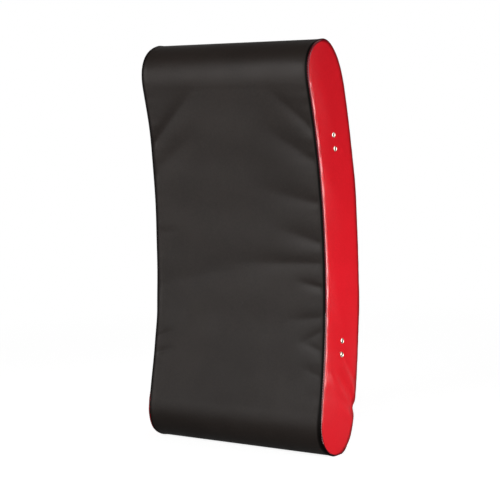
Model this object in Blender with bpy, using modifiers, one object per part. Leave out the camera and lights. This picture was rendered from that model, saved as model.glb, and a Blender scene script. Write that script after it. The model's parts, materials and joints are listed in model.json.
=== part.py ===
"""Curved rugby hit shield: two foam layers in a sewn cover, with a zip, arm straps and hand grips.

Metres, +Z up. X is the width, the hollow impact face looks towards -Y and the straps are at +Y.
The origin is the middle of the flat strip under the bottom end.
"""

import math

import bmesh
import bpy
from mathutils import Matrix, Vector

# Overall shape: the chord between the two end points of the bowed centre line, and its bow.
SHIELD_LENGTH = 0.850
SHIELD_BOW = 0.058
THICKNESS = 0.130
BOTTOM_WIDTH = 0.4475
TOP_WIDTH = 0.4215
FRONT_ROLL = 0.081
BACK_ROLL = 0.120
FRONT_ROLL_POWER = 2.4
BACK_ROLL_POWER = 2.35
FOOT_FLAT = 0.0015
FACE_CROWN = 0.004
SIDE_CROWN = 0.004

# Cover, seams and foam.
SEAT_GAP = 0.0003
COVER_SHEET = 0.001
PIPING_RADIUS = 0.0032
FACE_FOAM = 0.045

# How finely the outline is stepped.
ROLL_STEPS = 7
FRONT_STEPS = 12
BACK_STEPS = 10
FACE_COLUMNS = 6
DOME_RING_SHARES = (0.8, 0.5, 0.23)

# Vent eyelets, four in each side panel: a pair near each end.
VENTS_FROM_TOP = 0.209
VENTS_FROM_BOTTOM = 0.224
VENT_PITCH = 0.0288
VENT_OUT = -0.008
VENT_BORE_RADIUS = 0.00325
VENT_BARREL_RADIUS = 0.004
VENT_FLANGE_RADIUS = 0.0057
VENT_FLANGE_HEIGHT = 0.0009
VENT_CURL_RADIUS = 0.0052
VENT_CURL_HEIGHT = 0.0007
WASHER_RADIUS = 0.0064
WASHER_SHEET = 0.0005
VENT_SIDES = 14

# Zip across the lower back, above the narrow lower sheet of the cover.
LOWER_BACK_SHEET = 0.055
ZIP_OPENING = 0.030
ZIP_END_TAB = 0.0245
SLIDER_PARK = 0.026
TOOTH_ROW_WIDTH = 0.0032
TOOTH_ROW_THICKNESS = 0.0026
TOOTH_ROW_SPACE = 0.0016
STOP_LENGTH = 0.004
SLIDER_LENGTH = 0.015
SLIDER_WIDTH = 0.013
SLIDER_PLATE = 0.0014
SLIDER_POST = 0.001
SLIDER_LIP = 0.0012
BRIDGE_WIDTH = 0.003
BRIDGE_THICKNESS = 0.0012
BRIDGE_LENGTH = 0.009
PULL_LENGTH = 0.030
PULL_WIDTH = 0.009
PULL_TIP_WIDTH = 0.006
PULL_THICKNESS = 0.0016
PULL_WINDOW_LENGTH = 0.0062
PULL_WINDOW_WIDTH = 0.0046
ZIP_CHANNEL_SPACE = 0.0008

# Straps and grips on the back. An arm strap spans a share of the free back above the zip.
PATCH_SHEET = 0.0009
PATCH_MARGIN = 0.010
LOOP_POWER = 2.6
LOOP_STEPS = 16
ARM_STRAP = {
    "from_side": 0.080,
    "span_share": 0.758,
    "height": 0.065,
    "webbing_width": 0.050,
    "webbing_sheet": 0.0022,
    "tab_length": 0.050,
    "moving_share": 0.64,
    "pad_end": 0.006,
    "pad_width": 0.060,
    "pad_thickness": 0.014,
    "pad_edge": 0.0045,
}
HAND_GRIP = {
    "from_side": 0.164,
    "half_span": 0.075,
    "height": 0.048,
    "webbing_width": 0.025,
    "webbing_sheet": 0.0022,
    "tab_length": 0.034,
    "moving_share": 0.64,
    "pad_end": 0.006,
    "pad_width": 0.033,
    "pad_thickness": 0.021,
    "pad_edge": 0.0075,
}

# Room that cutters run past what they cut.
OVERRUN = 0.002

# Worked out from the sizes above.
BOW_RADIUS = (SHIELD_LENGTH ** 2 / 4 + SHIELD_BOW ** 2) / (2 * SHIELD_BOW)
HALF_TURN = math.asin(SHIELD_LENGTH / 2 / BOW_RADIUS)
HALF_RUN = BOW_RADIUS * HALF_TURN
STRAIGHT_BACK = HALF_RUN - BACK_ROLL
STRAIGHT_FRONT = HALF_RUN - FRONT_ROLL
BAND_MARGIN = 2 * PIPING_RADIUS + SEAT_GAP
FOAM_INSET = COVER_SHEET + SEAT_GAP
FOAM_CORNER = 2 * PIPING_RADIUS - FOAM_INSET + math.sqrt(2) * (PIPING_RADIUS + SEAT_GAP)
ZIP_RUN = STRAIGHT_BACK - LOWER_BACK_SHEET - ZIP_OPENING / 2
SEWN_END = PATCH_MARGIN + ARM_STRAP["tab_length"]
ARM_STRAP["half_span"] = ARM_STRAP["span_share"] * (ZIP_RUN - ZIP_OPENING / 2 - SEWN_END)
MERGE = 0.00002


def arc_point(run, out):
    """Side view point (y, z): run along the bowed centre line, out from it towards the back."""
    turn = run / BOW_RADIUS
    reach = BOW_RADIUS + out
    return (reach * math.cos(turn) - BOW_RADIUS * math.cos(HALF_TURN), reach * math.sin(turn))


def arc_place(y, z):
    """The run and out of a side view point."""
    across = y + BOW_RADIUS * math.cos(HALF_TURN)
    return BOW_RADIUS * math.atan2(z, across), math.hypot(across, z) - BOW_RADIUS


def roll_points(roll, power, side):
    """One end's rounding from beside the tip inwards, as (run, out) at the top end."""
    points = []
    for step in range(1, ROLL_STEPS):
        angle = math.pi / 2 * step / ROLL_STEPS
        run = HALF_RUN - roll * (1 - math.cos(angle) ** (2 / power))
        points.append((run, side * THICKNESS / 2 * math.sin(angle) ** (2 / power)))
    return points


def straight_points(half, steps, out):
    """Even steps along a face, from the bottom up, as (run, out)."""
    return [(half * (2 * step / steps - 1), out) for step in range(steps + 1)]


def flipped(places):
    """The same places at the bottom end."""
    return [(-run, out) for run, out in places]


def wrap_places():
    """From the lower seam on the back, round the bottom end, up the front and over the top."""
    back_roll = roll_points(BACK_ROLL, BACK_ROLL_POWER, 1)
    front_roll = roll_points(FRONT_ROLL, FRONT_ROLL_POWER, -1)
    places = flipped(back_roll[::-1])
    places += [(-HALF_RUN, 0)] + flipped(front_roll)
    places += straight_points(STRAIGHT_FRONT, FRONT_STEPS, -THICKNESS / 2)
    places += front_roll[::-1] + [(HALF_RUN, 0)]
    places += back_roll
    return places


def cut_flat(points, floor):
    """The outline with its lowest stretch cut off level at the floor, and no point just above the cut."""
    kept = []
    for index, (y, z) in enumerate(points):
        last_y, last_z = points[index - 1]
        if (z < floor) != (last_z < floor):
            share = (floor - last_z) / (z - last_z)
            kept.append((last_y + (y - last_y) * share, floor))
        if z >= floor + FOOT_FLAT / 2:
            kept.append((y, z))
    return kept


def outward(points, index, closed):
    """Mitred outward direction at one point of an outline that runs up its front side."""
    last = len(points) - 1
    before = points[index - 1] if closed or index > 0 else None
    after = points[(index + 1) % (last + 1)] if closed or index < last else None
    here = points[index]
    normals = []
    for start, end in ((before, here), (here, after)):
        if start is not None and end is not None:
            along = Vector((end[0] - start[0], end[1] - start[1])).normalized()
            normals.append(Vector((-along.y, along.x)))
    total = (normals[0] + normals[-1]).normalized()
    return total / total.dot(normals[0])


def inset(points, depth, closed=True):
    """The outline moved inwards by a depth, corner for corner."""
    moved = []
    for index, (y, z) in enumerate(points):
        way = outward(points, index, closed)
        moved.append((y - way.x * depth, z - way.y * depth))
    return moved


def at_origin(points):
    """The outline moved so that the middle of its foot is at zero."""
    return [(y - FOOT_MIDDLE, z - FOOT_LEVEL) for y, z in points]


WRAP_POINTS = [arc_point(run, out) for run, out in wrap_places()]
FOOT_LEVEL = min(z for y, z in WRAP_POINTS) + FOOT_FLAT
WRAP_POINTS = cut_flat(WRAP_POINTS, FOOT_LEVEL)
FOOT_POINTS = [y for y, z in WRAP_POINTS if z == FOOT_LEVEL]
FOOT_MIDDLE = (min(FOOT_POINTS) + max(FOOT_POINTS)) / 2
BACK_PLACES = straight_points(STRAIGHT_BACK, BACK_STEPS, THICKNESS / 2)
LOOP_POINTS = at_origin(WRAP_POINTS + [arc_point(run, out) for run, out in BACK_PLACES[::-1]])
SHIELD_HEIGHT = max(z for y, z in LOOP_POINTS)
MID_HEIGHT = -FOOT_LEVEL


def back_point(run, lift):
    """Side view point a lift above the back of the cover."""
    y, z = arc_point(run, THICKNESS / 2 + lift)
    return y - FOOT_MIDDLE, z - FOOT_LEVEL


def half_width(z):
    """Half the width between the two side seams at a height."""
    share = z / SHIELD_HEIGHT
    return (BOTTOM_WIDTH + (TOP_WIDTH - BOTTOM_WIDTH) * share) / 2


def shrunk(points, share):
    """A ring inside an outline, drawn in towards the bowed centre line."""
    ring = []
    for y, z in points:
        run, out = arc_place(y + FOOT_MIDDLE, z + FOOT_LEVEL)
        kept_run = run * (1 - (1 - share) * THICKNESS / 2 / HALF_RUN)
        inner_y, inner_z = arc_point(kept_run, out * share)
        ring.append((inner_y - FOOT_MIDDLE, inner_z - FOOT_LEVEL))
    return ring


def side_lift(share):
    """How far a side panel's ring stands out beyond its seams."""
    return SIDE_CROWN * (1 - share ** 2)


def crown_lift(points, index, share, closed):
    """Outward move of the impact face, most in the middle and none along its four edges."""
    y, z = points[index]
    run, out = arc_place(y + FOOT_MIDDLE, z + FOOT_LEVEL)
    along = min(1, abs(run) / STRAIGHT_FRONT)
    if out > 0 or along == 1:
        return Vector((0, 0))
    lift = FACE_CROWN * (1 - along ** 4) * (1 - share ** 2)
    return outward(points, index, closed) * lift


def make_material(name, colour, roughness, metallic=0.0):
    """A plain finish for one part."""
    material = bpy.data.materials.new(name)
    material.use_nodes = True
    shader = material.node_tree.nodes["Principled BSDF"]
    shader.inputs["Base Color"].default_value = (*colour, 1)
    shader.inputs["Roughness"].default_value = roughness
    shader.inputs["Metallic"].default_value = metallic
    return material


def finish_mesh(mesh, angle=math.radians(35)):
    """Smooth shading with sharp edges kept."""
    mesh.shade_smooth()
    mesh.set_sharp_from_angle(angle=angle)


def add_object(name, data, material=None):
    """A named object in the shield's collection, or a cutter in the cutters' when it has no finish."""
    piece = bpy.data.objects.new(name, data)
    if material is None:
        CUTTERS.objects.link(piece)
        piece.hide_render = True
        piece.display_type = "WIRE"
    else:
        PARTS.objects.link(piece)
        data.materials.clear()
        data.materials.append(material)
    return piece


def add_empty(name, place):
    """A pivot that moving pieces hang on."""
    pivot = bpy.data.objects.new(name, None)
    pivot.empty_display_size = PULL_LENGTH
    pivot.location = place
    PARTS.objects.link(pivot)
    return pivot


def hang_on(piece, pivot):
    """Parent a piece to a pivot and leave it where it is."""
    bpy.context.view_layer.update()
    piece.parent = pivot
    piece.matrix_parent_inverse = pivot.matrix_world.inverted()


def loft(name, rings, closed_rings, capped):
    """A mesh through rows of points, with a flat cap on the first and last row if asked."""
    mesh = bpy.data.meshes.new(name)
    build = bmesh.new()
    rows = [[build.verts.new(point) for point in ring] for ring in rings]
    count = len(rows[0])
    for lower, upper in zip(rows, rows[1:]):
        for index in range(count if closed_rings else count - 1):
            following = (index + 1) % count
            build.faces.new((lower[index], lower[following], upper[following], upper[index]))
    if capped:
        build.faces.new(rows[0][::-1])
        build.faces.new(rows[-1])
        bmesh.ops.recalc_face_normals(build, faces=build.faces)
    build.normal_update()
    build.to_mesh(mesh)
    build.free()
    finish_mesh(mesh)
    return mesh


def thicken(piece, thickness):
    """Give a sheet its thickness on the inner side."""
    shell = piece.modifiers.new("sheet", "SOLIDIFY")
    shell.thickness = thickness
    shell.offset = -1
    shell.use_even_offset = True


def cut(piece, cutter):
    """Cut one solid out of another."""
    boolean = piece.modifiers.new("cut", "BOOLEAN")
    boolean.operation = "DIFFERENCE"
    boolean.solver = "EXACT"
    boolean.object = cutter


def soften(piece, width, segments=2):
    """Round the edges."""
    bevel = piece.modifiers.new("edges", "BEVEL")
    bevel.width = width
    bevel.segments = segments
    bevel.limit_method = "ANGLE"
    bevel.angle_limit = math.radians(40)


def plate_mesh(name, outline, half_depth, holes=()):
    """A flat outline with its thickness, welded into one mesh in its own XY plane."""
    curve = bpy.data.curves.new(name, "CURVE")
    curve.dimensions = "2D"
    curve.fill_mode = "BOTH"
    curve.extrude = half_depth
    for line in (outline, *holes):
        spline = curve.splines.new("POLY")
        spline.points.add(len(line) - 1)
        for point, (across, up) in zip(spline.points, line):
            point.co = (across, up, 0, 1)
        spline.use_cyclic_u = True
    holder = bpy.data.objects.new(name, curve)
    CUTTERS.objects.link(holder)
    bpy.context.view_layer.update()
    evaluated = holder.evaluated_get(bpy.context.evaluated_depsgraph_get())
    mesh = bpy.data.meshes.new_from_object(evaluated)
    mesh.name = name
    bpy.data.objects.remove(holder)
    bpy.data.curves.remove(curve)
    build = bmesh.new()
    build.from_mesh(mesh)
    bmesh.ops.remove_doubles(build, verts=build.verts, dist=MERGE)
    bmesh.ops.recalc_face_normals(build, faces=build.faces)
    build.to_mesh(mesh)
    build.free()
    finish_mesh(mesh)
    return mesh


# Turns a plate's own X, Y and Z into the shield's Y, Z and X: a side view outline made as wide as it is deep.
SIDE_VIEW = Matrix(((0, 0, 1, 0), (1, 0, 0, 0), (0, 1, 0, 0), (0, 0, 0, 1)))
# Turns a plate's own X, Y and Z into X, Z and -Y, so that its outline stands up on the plate below it.
FRONT_VIEW = Matrix(((1, 0, 0, 0), (0, 0, -1, 0), (0, 1, 0, 0), (0, 0, 0, 1)))


def side_view_plate(name, outline, width, x, material=None):
    """A side view outline with a width, centred at x."""
    piece = add_object(name, plate_mesh(name, outline, width / 2), material)
    piece.matrix_world = Matrix.Translation((x, 0, 0)) @ SIDE_VIEW
    return piece


def ribbon_outline(centre_line, thickness, level_ends=()):
    """The closed outline of a strap along side view points, with the named ends (0, -1) cut level."""
    sides = []
    for depth in (thickness / 2, -thickness / 2):
        side = inset(centre_line, depth, closed=False)
        for end in level_ends:
            y, z = centre_line[end]
            index = end % len(centre_line)
            side[end] = (y - depth / outward(centre_line, index, False).x, z)
        sides.append(side)
    return sides[0] + sides[1][::-1]


def band_rows(points, columns, margin, depth, crowned):
    """Rows of points across the width, one for each point of a side view outline."""
    rows = []
    level = inset(points, depth, closed=False)
    for index, (y, z) in enumerate(level):
        edge = half_width(z) - margin
        row = []
        for column in range(columns + 1):
            share = 2 * column / columns - 1
            lift = crown_lift(points, index, share, False) if crowned else Vector((0, 0))
            row.append((share * edge, y + lift.x, z + lift.y))
        rows.append(row)
    return rows


def make_front_cover():
    """The black sheet over the impact face, wrapped round both ends to the seams on the back."""
    seam = STRAIGHT_BACK + SEAT_GAP
    ends = [arc_point(-seam, THICKNESS / 2)], [arc_point(seam, THICKNESS / 2)]
    points = at_origin(ends[0] + WRAP_POINTS + ends[1])
    rows = band_rows(points, FACE_COLUMNS, BAND_MARGIN, 0, True)
    piece = add_object("front_cover", loft("front_cover", rows, False, False), BLACK_COVER)
    thicken(piece, COVER_SHEET)


def make_back_cover(name, low_run, high_run):
    """One black sheet of the back, above or below the zip."""
    steps = max(2, round(BACK_STEPS * (high_run - low_run) / (2 * STRAIGHT_BACK)))
    runs = [high_run + (low_run - high_run) * step / steps for step in range(steps + 1)]
    rows = band_rows([back_point(run, 0) for run in runs], 1, BAND_MARGIN, 0, False)
    piece = add_object(name, loft(name, rows, False, False), BLACK_COVER)
    thicken(piece, COVER_SHEET)


def side_ring(points, side, depth, lift):
    """An outline set at one side of the shield, a depth in from the seams and a lift out again."""
    return [(side * (half_width(z) - depth + lift), y, z) for y, z in points]


def dome_rings(points, side, depth):
    """Rings from an outline in towards the middle of a side, crowned like the side panel."""
    rings = [side_ring(points, side, depth, 0)]
    for share in DOME_RING_SHARES:
        rings.append(side_ring(shrunk(points, share), side, depth, side_lift(share)))
    return rings


def vent_places():
    """The eyelets' places up a side panel: two near the top and two near the bottom."""
    half = VENT_PITCH / 2
    upper = HALF_RUN - VENTS_FROM_TOP
    lower = VENTS_FROM_BOTTOM - HALF_RUN
    return (upper + half, upper - half, lower + half, lower - half)


def vent_frame(run, side):
    """The frame of an eyelet: its Z looks out of the panel, and its origin is on the outer face."""
    y, z = arc_point(run, VENT_OUT)
    y -= FOOT_MIDDLE
    z -= FOOT_LEVEL
    slope = (BOTTOM_WIDTH - TOP_WIDTH) / 2 / SHIELD_HEIGHT
    normal = Vector((side, 0, slope)).normalized()
    place = Vector((side * (half_width(z) + side_lift(DOME_RING_SHARES[-1])), y, z))
    return Matrix.Translation(place) @ normal.to_track_quat("Z", "Y").to_matrix().to_4x4()


def drill(name, radius, top, bottom, frame):
    """A round cutter along the Z axis of a frame."""
    bpy.ops.mesh.primitive_cylinder_add(vertices=VENT_SIDES, radius=radius, depth=top - bottom)
    cutter = bpy.context.object
    cutter.name = name
    cutter.data.transform(Matrix.Translation((0, 0, (top + bottom) / 2)))
    for collection in list(cutter.users_collection):
        collection.objects.unlink(cutter)
    CUTTERS.objects.link(cutter)
    cutter.hide_render = True
    cutter.display_type = "WIRE"
    cutter.matrix_world = frame
    return cutter


def make_side_panel(name, side):
    """The red sheet that closes one side, crowned, with a hole for each eyelet."""
    edge = inset(LOOP_POINTS, BAND_MARGIN)
    rings = dome_rings(edge, side, 0)
    mesh = loft(name, rings, True, False)
    build = bmesh.new()
    build.from_mesh(mesh)
    build.verts.ensure_lookup_table()
    count = len(edge)
    build.faces.new(build.verts[-count:])
    bmesh.ops.recalc_face_normals(build, faces=build.faces)
    for face in build.faces:
        face.smooth = True
    middle = max(build.faces, key=lambda face: len(face.verts))
    if middle.normal.x * side < 0:
        bmesh.ops.reverse_faces(build, faces=build.faces)
    build.to_mesh(mesh)
    build.free()
    piece = add_object(name, mesh, RED_COVER)
    thicken(piece, COVER_SHEET)
    for number, run in enumerate(vent_places()):
        radius = VENT_BARREL_RADIUS + SEAT_GAP
        depth = -COVER_SHEET - OVERRUN
        cut(piece, drill(f"{name}_hole_{number}", radius, OVERRUN, depth, vent_frame(run, side)))


def make_piping(name, side):
    """The red bead sewn into the seam between a side panel and the black cover."""
    line = inset(LOOP_POINTS, PIPING_RADIUS + SEAT_GAP)
    curve = bpy.data.curves.new(name, "CURVE")
    curve.dimensions = "3D"
    curve.bevel_depth = PIPING_RADIUS
    curve.bevel_resolution = 1
    spline = curve.splines.new("POLY")
    spline.points.add(len(line) - 1)
    for point, place in zip(spline.points, side_ring(line, side, PIPING_RADIUS, 0)):
        point.co = (*place, 1)
    spline.use_cyclic_u = True
    add_object(name, curve, RED_COVER)


def foam_block(name):
    """The whole foam pad inside the cover, with its long corners cut back for the piping."""
    face = inset(LOOP_POINTS, FOAM_INSET)
    corner = inset(LOOP_POINTS, FOAM_CORNER)
    rings = dome_rings(corner, -1, FOAM_INSET)[::-1]
    for column in range(FACE_COLUMNS + 1):
        share = 2 * column / FACE_COLUMNS - 1
        ring = []
        for index, (y, z) in enumerate(face):
            lift = crown_lift(LOOP_POINTS, index, share, True)
            edge = half_width(z) - FOAM_CORNER
            ring.append((share * edge, y + lift.x, z + lift.y))
        rings.append(ring)
    rings += dome_rings(corner, 1, FOAM_INSET)
    return loft(name, rings, True, True)


def layer_cutter(name, low_out, high_out):
    """A bowed slab between two depths, wider and longer than the shield."""
    reach = HALF_RUN + THICKNESS
    low = [(reach * (2 * step / FRONT_STEPS - 1), low_out) for step in range(FRONT_STEPS + 1)]
    high = [(run, high_out) for run, out in low[::-1]]
    outline = at_origin([arc_point(run, out) for run, out in low + high])
    return side_view_plate(name, outline, BOTTOM_WIDTH + THICKNESS, 0)


def make_foam():
    """The soft face layer and the dense back layer, split along the bow."""
    split = FACE_FOAM - THICKNESS / 2
    face = add_object("foam_face_soft", foam_block("foam_face_soft"), FACE_FOAM_FINISH)
    cut(face, layer_cutter("face_layer_cutter", split - SEAT_GAP / 2, 2 * THICKNESS))
    core = add_object("foam_core_dense", foam_block("foam_core_dense"), CORE_FOAM_FINISH)
    cut(core, layer_cutter("core_layer_cutter", -2 * THICKNESS, split + SEAT_GAP / 2))
    pocket_bottom = vent_curl_bottom() - SEAT_GAP
    for side, word in ((-1, "left"), (1, "right")):
        for number, run in enumerate(vent_places()):
            radius = WASHER_RADIUS + SEAT_GAP
            cut(core, drill(f"pocket_{word}_{number}", radius, OVERRUN, pocket_bottom, vent_frame(run, side)))
    channel = SLIDER_WIDTH + 2 * ZIP_CHANNEL_SPACE
    floor = slider_floor() - ZIP_CHANNEL_SPACE
    size = (zip_length(), channel, OVERRUN - floor)
    cut(core, zip_box("zip_channel_cutter", size, (0, 0, (OVERRUN + floor) / 2)))


def washer_top():
    """Height of the backing washer's upper face under the panel's outer face."""
    return -COVER_SHEET - SEAT_GAP


def vent_curl_top():
    """Height at which the eyelet's barrel is rolled over its washer."""
    return washer_top() - WASHER_SHEET - SEAT_GAP


def vent_curl_bottom():
    """The innermost height of an eyelet."""
    return vent_curl_top() - VENT_CURL_HEIGHT


def turned(name, profile, frame, material):
    """A turned piece on the Z axis of a frame, from a closed profile of (radius, height)."""
    mesh = bpy.data.meshes.new(name)
    corners = [(radius, 0, height) for radius, height in profile]
    edges = [(index, (index + 1) % len(corners)) for index in range(len(corners))]
    mesh.from_pydata(corners, edges, [])
    piece = add_object(name, mesh, material)
    spin = piece.modifiers.new("turned", "SCREW")
    spin.steps = VENT_SIDES
    spin.render_steps = VENT_SIDES
    spin.use_smooth_shade = False
    spin.use_merge_vertices = True
    spin.merge_threshold = MERGE
    piece.matrix_world = frame


def make_vents(word, side):
    """The eyelets of one side panel and the washers that they are clinched on."""
    crest = SEAT_GAP + VENT_FLANGE_HEIGHT
    rim = SEAT_GAP + VENT_FLANGE_HEIGHT / 2
    crest_radius = (VENT_BORE_RADIUS + VENT_FLANGE_RADIUS) / 2
    eyelet = [
        (crest_radius, crest),
        (VENT_FLANGE_RADIUS, rim),
        (VENT_FLANGE_RADIUS, SEAT_GAP),
        (VENT_BARREL_RADIUS, SEAT_GAP),
        (VENT_BARREL_RADIUS, vent_curl_top()),
        (VENT_CURL_RADIUS, vent_curl_top()),
        (VENT_CURL_RADIUS, vent_curl_bottom()),
        (VENT_BORE_RADIUS, vent_curl_bottom()),
        (VENT_BORE_RADIUS, rim),
    ]
    inner = VENT_BARREL_RADIUS + SEAT_GAP
    washer = [
        (WASHER_RADIUS, washer_top()),
        (WASHER_RADIUS, washer_top() - WASHER_SHEET),
        (inner, washer_top() - WASHER_SHEET),
        (inner, washer_top()),
    ]
    for number, run in enumerate(vent_places(), 1):
        frame = vent_frame(run, side)
        turned(f"vent_eyelet_{word}_{number}", eyelet, frame, NICKEL)
        turned(f"eyelet_washer_{word}_{number}", washer, frame, NICKEL)


def zip_frame():
    """The zip's frame on the back: X to the right seen from behind, Y up the back, Z out of it."""
    turn = -ZIP_RUN / BOW_RADIUS
    y, z = back_point(-ZIP_RUN, 0)
    up = Vector((0, -math.sin(turn), math.cos(turn)))
    out = Vector((0, math.cos(turn), math.sin(turn)))
    across = Vector((-1, 0, 0))
    frame = Matrix((across, up, out)).transposed().to_4x4()
    return Matrix.Translation((0, y, z)) @ frame


def zip_seam():
    """Half the width of the cover between its side seams beside the zip, at the narrower edge."""
    level = zip_frame().translation.z + ZIP_OPENING
    return half_width(level) - BAND_MARGIN - SEAT_GAP


def zip_length():
    """Length of the tapes, between the cover tabs at the zip's ends."""
    return 2 * (zip_seam() - ZIP_END_TAB - SEAT_GAP)


def zip_travel():
    """How far the slider runs from its parked end to the other."""
    return zip_length() - 2 * SLIDER_PARK


def zip_box(name, size, centre, material=None):
    """A block in the zip's frame."""
    bpy.ops.mesh.primitive_cube_add(size=1)
    block = bpy.context.object
    mesh = block.data
    bpy.data.objects.remove(block)
    mesh.name = name
    mesh.transform(Matrix.Translation(centre) @ Matrix.Diagonal((*size, 1)))
    piece = add_object(name, mesh, material)
    piece.matrix_world = zip_frame()
    return piece


def tooth_row_low():
    """Height of a tooth row's underside: the row is centred on the tape."""
    return -(COVER_SHEET + TOOTH_ROW_THICKNESS) / 2


def slider_floor():
    """Height of the slider's underside, below the teeth."""
    return tooth_row_low() - SEAT_GAP - SLIDER_PLATE


def plate_top():
    """Height of the top of the slider's upper plate."""
    return tooth_row_low() + TOOTH_ROW_THICKNESS + SEAT_GAP + SLIDER_PLATE


def pull_height():
    """Height of the pull tab's bar, which turns under the slider's bridge."""
    return plate_top() + PULL_THICKNESS / math.sqrt(2) + SEAT_GAP


def make_zip():
    """Tapes, tooth rows, end stops and the cover tabs past the ends of the zip."""
    middle = -COVER_SHEET / 2
    row_near = TOOTH_ROW_SPACE / 2
    row_far = row_near + TOOTH_ROW_WIDTH
    tape_near = row_far + SEAT_GAP
    tape_far = ZIP_OPENING / 2 - SEAT_GAP
    length = zip_length()
    for side, word in ((1, "upper"), (-1, "lower")):
        tape = (length, tape_far - tape_near, COVER_SHEET)
        zip_box(f"zip_tape_{word}", tape, (0, side * (tape_near + tape_far) / 2, middle), TAPE)
        row = (length - 2 * (STOP_LENGTH + SEAT_GAP), TOOTH_ROW_WIDTH, TOOTH_ROW_THICKNESS)
        zip_box(f"zip_teeth_{word}", row, (0, side * (row_near + row_far) / 2, middle), TEETH)
    for end, word in ((1, "left"), (-1, "right")):
        stop = (STOP_LENGTH, 2 * row_far, TOOTH_ROW_THICKNESS)
        zip_box(f"zip_stop_{word}", stop, (end * (length - STOP_LENGTH) / 2, 0, middle), NICKEL)
        size = (ZIP_END_TAB, 2 * tape_far, COVER_SHEET)
        place = length / 2 + SEAT_GAP + ZIP_END_TAB / 2
        zip_box(f"zip_end_tab_{word}", size, (end * place, 0, middle), BLACK_COVER)


def slider_section():
    """Half of the slider's cross-section as (across, height), mirrored to the other side."""
    half = SLIDER_WIDTH / 2
    post = SLIDER_POST / 2
    low = slider_floor()
    right = [
        (half, low),
        (half, low + SLIDER_PLATE),
        (post, low + SLIDER_PLATE),
        (post, plate_top() - SLIDER_PLATE),
        (half - SLIDER_LIP, plate_top() - SLIDER_PLATE),
        (half - SLIDER_LIP, SEAT_GAP),
        (half, SEAT_GAP),
        (half, plate_top()),
    ]
    return right + [(-across, height) for across, height in right[::-1]]


def bridge_section():
    """The slider's bridge seen along the pull tab's bar, as (along, height)."""
    half = BRIDGE_LENGTH / 2
    foot = plate_top() - SLIDER_PLATE / 2
    under = pull_height() + PULL_THICKNESS / math.sqrt(2) + SEAT_GAP
    top = under + BRIDGE_THICKNESS
    inner = half - BRIDGE_THICKNESS
    shoulder = BRIDGE_THICKNESS / 2
    left = [(-half, foot), (-half, top - shoulder), (-half + shoulder, top)]
    right = [(-along, height) for along, height in left[::-1]]
    inside = [(inner, foot), (inner, under), (-inner, under), (-inner, foot)]
    return left + right + inside


def make_slider():
    """The zip's slider with its bridge, and the pull tab that hangs on it."""
    frame = zip_frame() @ Matrix.Translation((zip_travel() / 2, 0, 0))
    body_mesh = plate_mesh("zip_slider", slider_section(), SLIDER_LENGTH / 2)
    body = add_object("zip_slider", body_mesh, NICKEL)
    body.matrix_world = frame @ SIDE_VIEW
    bridge_mesh = plate_mesh("zip_bridge", bridge_section(), BRIDGE_WIDTH / 2)
    bridge = add_object("zip_bridge", bridge_mesh)
    bridge.matrix_world = frame @ FRONT_VIEW
    union = body.modifiers.new("bridge", "BOOLEAN")
    union.operation = "UNION"
    union.solver = "EXACT"
    union.object = bridge
    bar = PULL_THICKNESS / 2
    half = PULL_WIDTH / 2
    tip = PULL_TIP_WIDTH / 2
    outline = [(bar, half), (bar, -half), (bar - PULL_LENGTH, -tip), (bar - PULL_LENGTH, tip)]
    gap_end = -bar - PULL_WINDOW_LENGTH
    gap = PULL_WINDOW_WIDTH / 2
    window = [(-bar, gap), (gap_end, gap), (gap_end, -gap), (-bar, -gap)]
    pull = add_object("zip_pull", plate_mesh("zip_pull", outline, PULL_THICKNESS / 2, (window,)), NICKEL)
    pull.matrix_world = frame @ Matrix.Translation((0, 0, pull_height()))


def loop_height(sizes, up):
    """Height of a sewn loop over the line through its sewn ends."""
    share = min(1, abs(up) / sizes["half_span"])
    return sizes["height"] * (1 - share ** LOOP_POWER) ** 2


def half_moving(sizes):
    """Half the height of the part of a loop that swings."""
    return sizes["half_span"] * sizes["moving_share"]


def sewn_lift(sizes):
    """Height of the webbing's middle over the back of the cover where it is sewn down."""
    return SEAT_GAP + PATCH_SHEET + SEAT_GAP + sizes["webbing_sheet"] / 2


def sewn_run(sizes):
    """Place along the centre line where the loop's sewn end stops and the loop rises."""
    reach = BOW_RADIUS + THICKNESS / 2 + sewn_lift(sizes)
    return BOW_RADIUS * math.asin(sizes["half_span"] / reach)


def hinge_point(sizes):
    """Side view point in the middle of the line through a loop's two sewn ends."""
    y, z = back_point(sewn_run(sizes), sewn_lift(sizes))
    return y, MID_HEIGHT


def loop_line(sizes, low, high):
    """Side view points along a loop from one height to another, from its middle."""
    y, middle = hinge_point(sizes)
    count = max(2, round(LOOP_STEPS * abs(high - low) / (2 * sizes["half_span"])) + 1)
    ups = [low + (high - low) * step / count for step in range(count + 1)]
    return [(y + loop_height(sizes, up), middle + up) for up in ups]


def sewn_line(sizes, end, overhang=0.0, lift=None):
    """Side view points along a sewn end on the back, from the loop outwards."""
    start = sewn_run(sizes) - overhang
    finish = sewn_run(sizes) + sizes["tab_length"] + overhang
    height = sewn_lift(sizes) if lift is None else lift
    steps = 3
    runs = [start + (finish - start) * step / steps for step in range(steps + 1)]
    return [back_point(end * run, height) for run in runs]


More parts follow.
